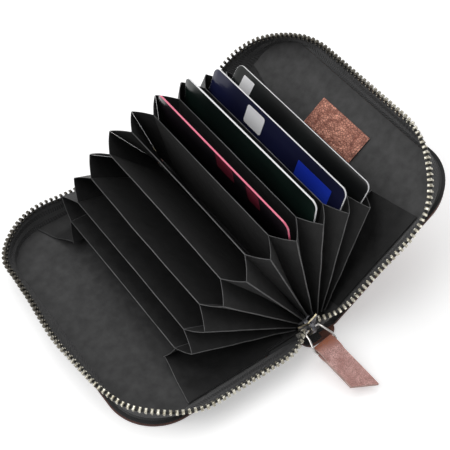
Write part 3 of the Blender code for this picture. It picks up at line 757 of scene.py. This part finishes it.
def rail_points(side, size, lift, count=14, lean=False):
    """Points of a wall's edge round three sides of a cover, from its near start to its far one."""
    reach, half, corner = size
    straight = reach - corner - WALL_START
    near = [(WALL_START + straight * i / count, -half) for i in range(count)]
    for i in range(count):
        a = -math.pi / 2 + math.pi / 2 * i / count
        near.append((reach - corner + corner * math.cos(a), -half + corner + corner * math.sin(a)))
    outer = [(reach, -half + corner + 2 * (half - corner) * i / count) for i in range(count + 1)]
    places = near + outer + [(x, -y) for x, y in reversed(near)]
    if lean:
        places = [zip_lean(side, x, y) for x, y in places]
    return [cover_point(side, x, y, lift) for x, y in places]


def zip_lean(side, x, y):
    """How the soft walls lean at their tops: along Y by the spine, and in along the long sides."""
    size, start, run = WALL_DRIFT[side, 1.0 if y > 0 else -1.0]
    drifted = y - size * (1 - smooth((x - start) / run))
    along_side = smooth((x - 0.060) / 0.015)
    if side == "left":
        bow = -0.0016 * smooth(abs(y + 0.003) / 0.029)
        corner = 0.0030 * smooth((y - 0.030) / 0.015) + 0.0012 * smooth((-y - 0.036) / 0.012)
        return x + along_side * (bow + corner), drifted
    return x - along_side * 0.0011, drifted * (1 - (0.012 if y < 0 else 0.0) * along_side)


def bezier(a, b, c, share):
    return a.lerp(b, share).lerp(b.lerp(c, share), share)


def tape_edges(side):
    """The whole foot and top edges of one tape, with its soft ends on the spine."""
    foot = rail_points(side, (*WALL_FOOT[:2], WALL_FOOT[2] + ROUNDER[side]), WALL_FOOT[3])
    top = rail_points(side, WALL_TOP[:3], WALL_TOP[3], lean=True)
    x = SIGN[side] * 0.0040
    beside_slider = SLIDER.x + SIGN[side] * 0.0016
    ends = {
        "near": (Vector((beside_slider, -0.0562, 0.0014)), Vector((beside_slider, SLIDER.y, 0.0098))),
        "far": (Vector((x, 0.0572, 0.0014)), Vector((x, 0.0571, 0.0094))),
    }
    steps = 12
    runs = {}
    for label, (end_foot, end_top) in ends.items():
        first = 0 if label == "near" else -1
        y = -1.0 if label == "near" else 1.0
        foot_bend = cover_point(side, 0.0, y * WALL_FOOT[1], WALL_FOOT[3])
        top_bend = cover_point(side, *zip_lean(side, 0.0040, y * WALL_TOP[1]), WALL_TOP[3])
        runs[label] = [
            [bezier(end, bend, line[first], i / steps) for i in range(steps)]
            for end, bend, line in ((end_foot, foot_bend, foot), (end_top, top_bend, top))
        ]
    foot = runs["near"][0] + foot + runs["far"][0][::-1]
    top = runs["near"][1] + top + runs["far"][1][::-1]
    return foot, top


def blend_zip(piece):
    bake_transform(piece)


def make_tape(side):
    """One tape, standing on the leather's rim and flaring out to the teeth."""
    foot, top = tape_edges(side)
    last = len(foot) - 1
    length = sum((b - a).length for a, b in zip(top, top[1:]))

    def wall(s, t):
        i = min(last, max(0, round(s * last)))
        belly = math.copysign(0.0004 * math.sin(math.pi * t), foot[i].y)
        return foot[i].lerp(top[i], t) + Vector((0.0, belly, 0.0))

    tape = cloth_sheet(f"{side}_tape", last, 8, wall, (TAPE,), TAPE_THICKNESS, uv_size=(length, 0.0095))
    inner, middle, outer = (
        rail_points(side, (reach, half, corner + ROUNDER[side]), lift)
        for reach, half, corner, lift in (
            (WALL_FOOT[0] + 0.0001, WALL_FOOT[1] + 0.0001, WALL_FOOT[2] + 0.0001, WALL_FOOT[3]),
            (0.0757, 0.0554, 0.0162, -0.00125), (0.0772, 0.0569, 0.0177, -0.00145)))
    count = len(inner) - 1

    def foot_facing(s, t):
        i = min(count, max(0, round(s * count)))
        if t < 0.5:
            return inner[i].lerp(middle[i], 2 * t)
        return middle[i].lerp(outer[i], 2 * t - 1)

    facing = cloth_sheet(f"{side}_tape_foot", count, 4, foot_facing, (TAPE,), 0.00035,
                         uv_size=(length, 0.0040))
    tape = join(tape.name, [tape, facing])
    blend_zip(tape)
    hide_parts(f"{side}_zip_tape", f"{side}_zip_near_end", f"{side}_zip_far_end")
    ends = [tape_end(side, end_side) for end_side in (-1.0, 1.0)]
    if side == "left":
        ends.append(make_tape_tail())


def tape_end(side, end_side):
    """The flat end of a tape on the leather's rim, from the middle of the spine to where the wall starts."""
    def place(s, t):
        return shell_point(side, 0.0230 * s, end_side * (0.0522 + 0.0048 * t), 0.00158)

    piece = cloth_sheet(f"{side}_tape_end_{ENDS[end_side]}", 40, 4, place, (TAPE,), 0.00020,
                        uv_size=(0.0230, 0.0048))
    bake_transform(piece)
    return piece


def make_tape_tail():
    """The tapes' joined ends, sewn down on the end tab below the slider. Their black also paints the shade
    between the bail's legs there.
    """
    def place(s, t):
        return Vector((-0.0074 + 0.0078 * s, -0.0565 - (0.0034 - 0.0006 * abs(2 * s - 1)) * t, 0.00106))

    tail = cloth_sheet("tape_tail", 12, 6, place, (TAPE,), 0.00025, uv_size=(0.0078, 0.0034))
    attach(tail, "spine")
    return tail


def tooth_shape():
    """One tooth: legs that clasp the cord, a waist, and a block of a head with a hollow in its top.

    Its levels are heights with half the width and half the depth there.
    """
    levels = ((0.00020, 0.00032, 0.00096), (0.00105, 0.00036, 0.00104), (0.00128, 0.00028, 0.00060),
              (0.00150, 0.00056, 0.00092), (0.00230, 0.00056, 0.00092), (0.00248, 0.00040, 0.00072))
    top = len(levels) - 1
    deselect()
    bpy.ops.mesh.primitive_plane_add(size=1.0)
    tooth = named("tooth_pattern", TEETH)
    bpy.ops.object.mode_set(mode="EDIT")
    for _ in range(top):
        bpy.ops.mesh.extrude_region_move(TRANSFORM_OT_translate={"value": (0.0, 0.0, 1.0)})
    bpy.ops.mesh.inset(thickness=0.25, depth=0.0)
    bpy.ops.object.mode_set(mode="OBJECT")
    for vertex in tooth.data.vertices:
        x, y, z = vertex.co
        height, half_width, half_depth = levels[round(z)]
        hollow = 0.00012 if round(z) == top and abs(x) < 0.4 else 0.0
        vertex.co = (2 * x * half_width, 2 * y * half_depth, height - hollow)
    face_out(tooth)
    return take_mesh(tooth)


def make_teeth(side, pattern, phase):
    """The row of teeth, and the cord that they clasp."""
    foot, top = tape_edges(side)
    turns = []
    for place, along, i, share in walk(top, TOOTH_PITCH, phase):
        up = (top[i].lerp(top[i + 1], share) - foot[i].lerp(foot[i + 1], share)).normalized()
        across = along.cross(up).normalized()
        turns.append(turned(along, across, across.cross(along).normalized(), place))
    teeth = row_of_copies(f"{side}_teeth", pattern, turns, TEETH, 30)
    blend_zip(teeth)
    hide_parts(f"{side}_tooth_chain")
    line = [a.lerp(b, 1.06) for a, b in zip(foot, top)]
    cord = wire(f"{side}_cord", line, 0.00055, TAPE)
    blend_zip(cord)


def make_stop(node):
    """A folded clip with rounded edges over a chain's end."""
    low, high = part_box(node)
    deselect()
    bpy.ops.mesh.primitive_cube_add(size=1.0, location=(low + high) / 2)
    clip = named(f"{node}_clip", BRASS)
    clip.scale = high - low
    settle(clip)
    edit_all()
    bpy.ops.mesh.bevel(offset=0.0004, segments=3)
    bpy.ops.object.mode_set(mode="OBJECT")
    shade(clip, 40)
    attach(clip, "spine")
    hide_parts(node)


# Accordion: dividers, pleats and floors

def make_divider(index):
    """A stiff cloth panel with a pale fold along its top and a bow, which is slight beside the cards."""
    up, normal = lean_frame(DIVIDER_LEANS[index])
    base = divider_base(index)
    bow = (0.0005 if index < 5 else 0.0001) * math.sin(index * 2.1 + 0.6)

    def place(s, t):
        height = DIVIDER_FOOT + (DIVIDER_HEIGHT - DIVIDER_FOOT) * t
        along = (2 * s - 1) * fold_half(height)
        swell = bow * math.cos(math.pi * (s - 0.5)) * math.sin(math.pi * min(1.0, t * 0.7))
        ripple = 0.00012 * noise.noise(Vector((s * 6, t * 3, index * 5.0))) * t
        return base + up * height + Vector((0, along, 0)) + normal * (swell + ripple)

    panel = cloth_sheet(f"pocket_divider_{index:02d}", 48, 24, place, (POCKET, FOLD_EDGE), DIVIDER_THICKNESS)
    rim = [place(0, i / 20) for i in range(20)] + [place(i / 40, 1) for i in range(41)]
    panel = join(panel.name, [panel, wire(f"divider_fold_{index:02d}", rim, 0.00021, FOLD_EDGE, rounds=1)])
    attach(panel, f"divider_{index:02d}")
    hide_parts(f"divider_{index:02d}")


def ridge_point(index, other, end_side, height):
    """A point of the ridge between two neighbours. The outermost ridges fold inwards, the others outwards."""
    own, facing = panel_line(index, height), panel_line(other, height)
    if min(index, other) < 0 or max(index, other) > 9:
        side = "left" if min(index, other) < 0 else "right"
        share = (height - PLEAT_FOOT) / (DIVIDER_HEIGHT - PLEAT_FOOT)
        place = cover_point(side, height, 0.0, 0.0010 + TIP_LIFT[side, end_side] * share)
        return Vector((place.x, ACCORDION_SHIFT + end_side * INNER_RIDGE, place.z))
    gap = (facing - own).length
    middle = own.lerp(facing, 0.5 - 0.00012 / gap)
    wander = 0.0003 * noise.noise(Vector((height * 120, (index + other) * 3.7, end_side)))
    if index + other == 1 and end_side > 0:
        wander += 0.0020 * smooth(height / DIVIDER_HEIGHT)
    return Vector((middle.x, ACCORDION_SHIFT + end_side * (ridge_half(height) + wander), middle.z))


def pleat_panel(index, other, end_side):
    """Half of a pleat: from divider index's end edge out to the ridge that it shares with its neighbour."""
    def place(s, t):
        height = PLEAT_FOOT + (DIVIDER_HEIGHT - PLEAT_FOOT) * t
        own, facing = panel_line(index, height), panel_line(other, height)
        start = own.lerp(facing, 0.0001 / (facing - own).length)
        start.y = ACCORDION_SHIFT + end_side * (fold_half(height) + 0.0002)
        belly = 0.00055 * math.sin(math.pi * s) * (0.35 + 0.65 * t)
        return start.lerp(ridge_point(index, other, end_side, height), s) + Vector((0, end_side * belly, 0))

    name = f"pleat_{index + 1:02d}_{'front' if other > index else 'back'}_{ENDS[end_side]}"
    panel = cloth_sheet(name, 8, 24, place, (POCKET, FOLD_EDGE), PLEAT_THICKNESS)
    if other > 9:
        return panel
    rim = [place(1 - i / 8, 1) for i in range(9)]
    if end_side < 0:
        rim = [place(1, i / 24) for i in range(24)] + rim
    return join(name, [panel, wire(f"{name}_fold", rim, 0.00015, FOLD_EDGE, rounds=1)])


def pleat_width(index, other, end_side):
    """How wide half a pleat is at half its height, laid flat."""
    height = (PLEAT_FOOT + DIVIDER_HEIGHT) / 2
    start = panel_line(index, height)
    start.y = ACCORDION_SHIFT + end_side * fold_half(height)
    return (ridge_point(index, other, end_side, height) - start).length


def make_pleats(index):
    """All pleat halves that hang on one divider."""
    halves = [(index, index + step, end_side) for step in (-1, 1) for end_side in (-1.0, 1.0)]
    pleats = join(f"pleats_{index:02d}", [pleat_panel(*half) for half in halves])
    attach(pleats, f"divider_{index:02d}")
    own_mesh(pleats)
    gusset = 10 if index == 9 else index
    if gusset not in CARD_POCKETS:
        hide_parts(f"pocket_gusset_{gusset:02d}")
    sum(pleat_width(*half) for half in halves)


def hem_panel(side, end_side):
    """The outermost pleat half: from its ridge out over the lining to the seam along the zip."""
    index, other = (-1, 0) if side == "left" else (10, 9)
    reach = HEM_REACH[side, end_side]
    out = cover_out(side)

    def place(s, t):
        height = PLEAT_FOOT + (DIVIDER_HEIGHT - 0.0005 - PLEAT_FOOT) * t
        ridge = ridge_point(index, other, end_side, height)
        outer = HEM_START + (reach - HEM_START) * t
        relief = SLIDER_RELIEF * relief_share(outer) if (side, end_side) == ("left", -1.0) else 0.0
        y = ridge.y + (end_side * (HEM_HALF - relief) - ridge.y) * s
        level = cover_point(side, outer + (height - outer) * (1 - s), y, HEM_LIFT)
        lift = (ridge - cover_point(side, height, ridge.y, HEM_LIFT)) * (1 - smooth(s * 1.5))
        calm = 1.0 if end_side < 0 else 0.4
        fold = 0.00022 * math.sin((s * 5 + t * 9) * 2.1) * math.sin(math.pi * s) * t * calm
        return level + lift + out * max(0.0, fold + 0.0001)

    name = f"{side}_hem_{ENDS[end_side]}"
    if side == "right":
        return cloth_sheet(name, 30, 36, place, (POCKET,), 0.00025)
    hem = cloth_sheet(name, 30, 36, place, (POCKET, FOLD_EDGE), 0.00025)
    rim = [place(i / 30, 1) for i in range(31)]
    return join(name, [hem, wire(f"{name}_fold", rim, 0.00015, FOLD_EDGE, rounds=1)])


def make_cover_pleats(side):
    """The outermost pleat halves with their hems, sewn to a cover's lining."""
    word = "back" if side == "left" else "front"
    for end_side, label in ENDS.items():
        hem = hem_panel(side, end_side)
        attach(hem, f"{side}_cover")
        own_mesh(hem)
        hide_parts(f"{word}_flange_{label}")


def make_pocket_floor(pocket):
    """The narrow strip of cloth that a card stands on."""
    up, normal = lean_frame(CARD_LEANS[CARD_POCKETS.index(pocket)])
    base = divider_base(pocket - 0.5)

    def place(s, t):
        dip = 0.0002 * (1 - abs(2 * t - 1))
        return (base + up * (PLEAT_FOOT + 0.0004 - dip) + Vector((0, (2 * s - 1) * 0.050, 0))
                + normal * (t - 0.5) * 0.0009)

    floor = cloth_sheet(f"pocket_floor_{pocket}", 30, 4, place, (POCKET,), 0.0002)
    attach(floor, f"pocket_{pocket}")
    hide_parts(f"pocket_gusset_{pocket:02d}")
    return floor


def make_base_strip():
    """The folded strip on the spine that all the dividers are sewn to."""
    low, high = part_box("accordion_base_strip")

    def place(s, t):
        x = low.x + (high.x - low.x) * t
        ridge = 0.00025 * abs(math.sin(math.pi * (x - low.x) / DIVIDER_PITCH))
        return Vector((x, low.y + (high.y - low.y) * s, (low.z + high.z) / 2 + ridge - 0.0001))

    strip = cloth_sheet("sewn_base_strip", 24, 60, place, (POCKET,), 0.0004)
    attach(strip, "spine")
    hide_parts("accordion_base_strip")


# Cards

def rounded_card(name, body, edge, lean, base):
    """A standard card with round corners, its thin edge in the colour of its core."""
    deselect()
    bpy.ops.mesh.primitive_cube_add(size=1.0)
    card = named(name, body, edge)
    card.scale = CARD_SIZE
    settle(card)
    bpy.ops.object.mode_set(mode="EDIT")
    bpy.ops.mesh.select_mode(type="EDGE")
    bpy.ops.mesh.select_all(action="DESELECT")
    bpy.ops.object.mode_set(mode="OBJECT")
    for line in card.data.edges:
        first, second = (card.data.vertices[i].co for i in line.vertices)
        line.select = abs(first.x - second.x) > CARD_SIZE[0] / 2
    bpy.ops.object.mode_set(mode="EDIT")
    bpy.ops.mesh.bevel(offset=CARD_CORNER, segments=10)
    bpy.ops.mesh.select_mode(type="VERT")
    bpy.ops.object.mode_set(mode="OBJECT")
    for face in card.data.polygons:
        face.material_index = 0 if abs(face.normal.x) > 0.9 else 1
    round_edges(card, 0.00010, 1)
    up, _ = lean_frame(lean)
    card.rotation_euler = (0.0, lean, 0.0)
    card.location = base + up * (CARD_FOOT + CARD_SIZE[2] / 2)
    settle(card)
    shade(card, 35)
    return card


def card_print(name, material, lean, base, low, high, corner):
    """A flat printed field on the side of a card that faces the back cover."""
    (y0, z0), (y1, z1) = low, high
    centres = ((y1 - corner, z1 - corner), (y0 + corner, z1 - corner),
               (y0 + corner, z0 + corner), (y1 - corner, z0 + corner))
    outline = []
    for start, (cy, cz) in enumerate(centres):
        for step in range(5):
            a = (start + step / 4) * math.pi / 2
            outline.append((cy + corner * math.cos(a), cz + corner * math.sin(a)))
    field = outline_plate(name, outline, 0.00006, material)
    field.rotation_euler = (0.0, 0.0, math.pi / 2)
    settle(field)
    up, normal = lean_frame(lean)
    field.rotation_euler = (0.0, lean, 0.0)
    field.location = base + up * CARD_FOOT - normal * (CARD_SIZE[0] / 2 + 0.00001)
    settle(field)
    return field


WHITE_EDGE = card_material("white_card_core", (0.82, 0.82, 0.84), (0.92, 0.92, 0.93))
PINK_EDGE = card_material("pink_card_core", (0.72, 0.10, 0.20), (0.82, 0.18, 0.28))
LABEL_WHITE = card_material("white_label", (0.86, 0.86, 0.88), (0.96, 0.96, 0.97))
FIELD_BLUE = card_material("blue_field", (0.010, 0.030, 0.42), (0.020, 0.060, 0.55))
FIELD_RED = card_material("red_field", (0.075, 0.006, 0.014), (0.30, 0.035, 0.070))
CARD_FACES = (
    card_material("plum_black_face", (0.0035, 0.0028, 0.0040), (0.010, 0.006, 0.009)),
    card_material("deep_green_face", (0.0030, 0.0065, 0.0055), (0.0075, 0.0190, 0.0145)),
    card_material("navy_face", (0.0045, 0.0050, 0.0190), (0.0100, 0.0120, 0.0480)),
    card_material("black_face", (0.0035, 0.0040, 0.0040), (0.0095, 0.0120, 0.0110)),
)
CARD_FIELDS = (
    ((FIELD_RED, (-0.0085, 0.0450), (0.0030, 0.0534), 0.0010),
     (FIELD_RED, (-0.0250, 0.0440), (-0.0170, 0.0530), 0.0010)),
    (),
    ((LABEL_WHITE, (0.0075, 0.0432), (0.0188, 0.0517), 0.0012),
     (FIELD_BLUE, (-0.0360, 0.0415), (-0.0155, 0.0488), 0.0004)),
    ((LABEL_WHITE, (0.0302, 0.0436), (0.0374, 0.0515), 0.0005),),
)


def make_card(number):
    """One card, upright in its pocket, with plain fields where a print would be."""
    lean = CARD_LEANS[number]
    base = divider_base(CARD_POCKETS[number] - 0.5) + Vector((0, CARD_SHIFTS[number], 0))
    edge = PINK_EDGE if number == 0 else WHITE_EDGE
    pieces = [rounded_card(f"card_{number + 1}_slab", CARD_FACES[number], edge, lean, base)]
    for i, (material, low, high, corner) in enumerate(CARD_FIELDS[number]):
        pieces.append(card_print(f"card_{number + 1}_field_{i}", material, lean, base, low, high, corner))
    for piece in pieces:
        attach(piece, f"card_{number + 1}")
    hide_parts(f"card_{number + 1}")


# Patch, slider, bail and pull

def stitch_row(name, line, pitch, length, radius, lift):
    """Short rounded stitches, end to end along a line."""
    deselect()
    bpy.ops.mesh.primitive_uv_sphere_add(segments=6, ring_count=4, radius=1.0)
    stitch = named(f"{name}_pattern", THREAD)
    stitch.scale = (length / 2, radius, radius)
    settle(stitch)
    turns = []
    for place, along, _, _ in walk(line, pitch, pitch / 2):
        across = lift.cross(along).normalized()
        turns.append(turned(along, across, along.cross(across), place))
    return row_of_copies(name, take_mesh(stitch), turns, THREAD, 80)


def make_patch():
    """The rough leather patch on the front lining, sewn along its edge and left bare."""
    width, length, reach, inset = 0.0132, 0.0297, 0.0576, 0.0009

    def place(s, t):
        x, y = (s - 0.5) * width, (t - 0.5) * length
        inside = min(width / 2 - abs(x), length / 2 - abs(y))
        rings = 0.00006 * math.sin(math.hypot(x, y * 0.55) * 4200) * smooth(inside / 0.002)
        rough = 0.00008 * noise.noise(Vector((x * 1400, y * 1400, 1.0)))
        worn = 0.0002 * (1 - smooth(inside / 0.0008))
        return cover_point("right", reach + x, y, 0.0006 + rings + rough - worn)

    patch = cloth_sheet("bare_patch", 66, 120, place, (PATCH_LEATHER, LEATHER_EDGE), 0.0005)
    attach(patch, "right_cover")
    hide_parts("lining_patch")
    x, y = width / 2 - inset, length / 2 - inset
    line = [cover_point("right", reach + a * x, b * y, 0.00085)
            for a, b in ((1, 1), (-1, 1), (-1, -1), (1, -1), (1, 1))]
    row = stitch_row("patch_stitches", line, 0.0016, 0.0012, 0.00014, cover_out("right"))
    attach(row, "right_cover")


def shell_stitches(side):
    """The seam that holds the tape to the leather, seen on the outside of a cover."""
    inset = 0.0028
    size = (COVER_REACH - inset, COVER_HALF - inset, COVER_CORNER - inset + ROUNDER[side])
    line = rail_points(side, size, -LINING_TOP - 0.00002, 16)
    row = stitch_row(f"{side}_shell_stitches", line, 0.0030, 0.0023, 0.00019, -cover_out(side))
    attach(row, f"{side}_cover")


def make_slider():
    """Two waisted plates with bent-in flanges on a post, and the arched crown. The near plate's worn edges are
    bright; the inner plate's edges are gunmetal, painted shade behind the near plate.
    """
    half, mouth, tail = 0.0042, 0.0046, 0.0022
    tilt = Matrix.Translation(SLIDER) @ Matrix.Rotation(SLIDER_TILT, 4, "Y")
    parts = []
    # The inner plate's edges are gunmetal rather than brass: painted shade behind the near plate.
    for face, rim, drop in ((-1, BRASS, 0.0), (1, GUNMETAL, 0.0036)):
        def place(s, t):
            x = 2 * s - 1
            top = half - drop - 0.0017 * (1 - abs(x))
            z = -half + (top + half) * t
            wide = tail + (mouth - tail) * smooth((z + 0.0030) / 0.0040)
            wide -= 0.0005 * smooth((-z - 0.0030) / 0.0012)
            bend = smooth((abs(x) - 0.70) / 0.30) * (1 - 0.8 * smooth((z - 0.0005) / 0.0020))
            return tilt @ Vector((x * wide, face * (0.0017 - 0.0009 * bend), z))

        parts.append(cloth_sheet("slider_plate", 28, 20, place, (GUNMETAL, rim), 0.0006))
    wedge = [(-0.0009, half - 0.0030), (0.0, 0.0004), (0.0009, half - 0.0030)]
    post = outline_plate("slider_post", wedge, 0.0030, GUNMETAL, 0.0001)
    post.matrix_world = tilt
    settle(post)
    parts.append(post)
    body = join("slider_body", parts)
    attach(body, "spine")
    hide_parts("zip_slider")
    arch = [(-0.0018, 0.0020), (-0.0030, 0.0021), (-0.0044, 0.0016), (-0.0050, 0.0),
            (-0.0044, -0.0016), (-0.0030, -0.0021), (-0.0018, -0.0020)]
    line = smooth_line([Vector((0, y, z)) for y, z in arch], 4)

    def place(s, t):
        i = min(len(line) - 1, round(t * (len(line) - 1)))
        return SLIDER + line[i] + Vector(((s - 0.5) * 0.0018, 0, 0))

    crown = cloth_sheet("slider_crown", 3, len(line) - 1, place, (GUNMETAL, BRASS), 0.0006)
    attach(crown, "spine")


def swing_turn(dip):
    return Matrix.Rotation(BAIL_YAW, 4, "Z") @ Matrix.Rotation(dip, 4, "X")


BAIL_AXIS = SLIDER + Vector((0, -0.0033, 0))
PULL_AXIS = BAIL_AXIS + (swing_turn(BAIL_DIP) @ Vector((0, -BAIL_LENGTH, 0)))


def make_bail():
    """The wire loop: straight bars in the crown and in the pull, and legs that bow up between them."""
    inner, outer = 0.0038, 0.0056
    half_loop = [(0.0, 0.0, 0.0), (inner - 0.0011, 0.0, 0.0), (inner - 0.0001, -0.0006, 0.0001),
                 (inner + 0.0005, -0.0030, 0.0007), (outer - 0.0003, -0.0060, 0.0007),
                 (outer, -BAIL_LENGTH + 0.0011, 0.0002), (outer - 0.0010, -BAIL_LENGTH, 0.0),
                 (0.0, -BAIL_LENGTH, 0.0)]
    loop = [Vector(p) for p in half_loop] + [Vector((-x, y, z)) for x, y, z in reversed(half_loop[1:-1])]
    turn = Matrix.Translation(BAIL_AXIS) @ swing_turn(BAIL_DIP)
    line = [turn @ point for point in smooth_line(loop, 5, closed=True)]
    bail = wire("wire_bail", line, 0.00045, STEEL, closed=True)
    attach(bail, "bail")
    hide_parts("pull_bail")


def make_pull():
    """A leather strap folded round the bail, its two layers glued and cut on a slant."""
    width, length, slant, half_layer = 0.0095, 0.0179, 0.0061, 0.00043
    eye, fold_start, fold_past = 0.00045 + 0.0003 + half_layer, 0.0020, 0.0027
    layer_share = 0.42
    turn = Matrix.Translation(PULL_AXIS) @ swing_turn(PULL_DIP)

    def place(s, t):
        x = (s - 0.5) * width
        tip = length + slant * s
        if layer_share <= t <= 1 - layer_share:
            a = (t - layer_share) / (1 - 2 * layer_share)
            y = -fold_start + (fold_start + fold_past) * math.sin(math.pi * a)
            return turn @ Vector((x, y, eye * math.sin(math.pi * (0.5 - a))))
        share = min(t, 1 - t) / layer_share
        y = -tip + (tip - fold_start) * share
        rise = half_layer + (eye - half_layer) * smooth((y + 0.0052) / 0.0032)
        z = rise if t < 0.5 else -rise
        z += 0.00025 * math.sin(share * 3.4 + 0.4) * (1 - share)
        crinkled = math.exp(-((x + 0.0006) / 0.0030) ** 2 - ((y + 0.0068) / 0.0032) ** 2)
        z += 0.00050 * crinkled * noise.noise(Vector((x * 1300, y * 800, 2.0)))
        return turn @ Vector((x, y, z))

    strap = cloth_sheet("leather_pull", 32, 170, place, (PULL_LEATHER, LEATHER_EDGE),
                        2 * half_layer - 0.00004)
    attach(strap, "pull")
    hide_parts("pull_tab")


# Put it all together

def build_wallet():
    for side in SIDES:
        make_shell(side)
        make_lining(side)
        make_tape(side)
        shell_stitches(side)
    pattern = tooth_shape()
    make_teeth("left", pattern, TOOTH_PITCH * 5 / 4)
    make_teeth("right", pattern, TOOTH_PITCH * 7 / 4)
    for node in ("zip_bottom_stop", "left_top_stop", "right_top_stop"):
        make_stop(node)
    for index in range(10):
        make_divider(index)
        floors = [make_pocket_floor(index + 1)] if index + 1 in CARD_POCKETS else []
        make_pleats(index)
    for side in SIDES:
        make_cover_pleats(side)
    make_base_strip()
    for number in range(4):
        make_card(number)
    make_patch()
    make_slider()
    make_bail()
    make_pull()
    for node in ("left_stiffener", "right_stiffener", "spine_stiffener"):
        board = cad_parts[node]
        board.data.materials.clear()
        board.data.materials.append(BOARD)


# Table, light and camera

def make_table():
    deselect()
    bpy.ops.mesh.primitive_plane_add(size=6.0, location=(0, 0, -TABLE_DROP))
    material, nodes, links, shader, _ = start_material("white_table", 0.9)
    table = named("table", material)
    shader.inputs["Base Color"].default_value = (0.92, 0.92, 0.92, 1.0)
    shader.inputs["Specular IOR Level"].default_value = 0.1
    glow = nodes.new("ShaderNodeEmission")
    path = nodes.new("ShaderNodeLightPath")
    seen = math_node(nodes, links, "MAXIMUM", path.outputs["Is Camera Ray"], path.outputs["Is Glossy Ray"])
    seen = math_node(nodes, links, "MAXIMUM", seen, path.outputs["Is Transmission Ray"])
    strength = math_node(nodes, links, "MULTIPLY", seen, TABLE_GLOW)
    links.new(strength, glow.inputs["Strength"])
    add = nodes.new("ShaderNodeAddShader")
    links.new(shader.outputs[0], add.inputs[0])
    links.new(glow.outputs[0], add.inputs[1])
    links.new(add.outputs[0], nodes["Material Output"].inputs["Surface"])


def aim(thing, place, target):
    thing.location = place
    thing.rotation_euler = (Vector(target) - Vector(place)).to_track_quat("-Z", "Y").to_euler()


def light_scene():
    world = bpy.data.worlds.new("studio")
    bpy.context.scene.world = world
    world.use_nodes = True
    sky = world.node_tree.nodes["Background"]
    sky.inputs["Color"].default_value = (1.0, 1.0, 1.0, 1.0)
    sky.inputs["Strength"].default_value = SKY_STRENGTH
    for name, place, size, power in LAMPS:
        lamp = bpy.data.lights.new(name, "AREA")
        lamp.shape = "DISK"
        lamp.size = size
        lamp.energy = power
        aim(add_object(name, lamp), place, (0, 0, 0))


def place_camera():
    lens = bpy.data.cameras.new("photo_camera")
    lens.lens = CAMERA_LENS
    lens.sensor_width = 36.0
    lens.clip_start = 0.01
    camera = add_object("photo_camera", lens)
    aim(camera, CAMERA_PLACE, CAMERA_TARGET)
    bpy.context.scene.camera = camera
    bpy.context.scene.view_settings.view_transform = "Standard"


build_wallet()
make_table()
light_scene()
place_camera()
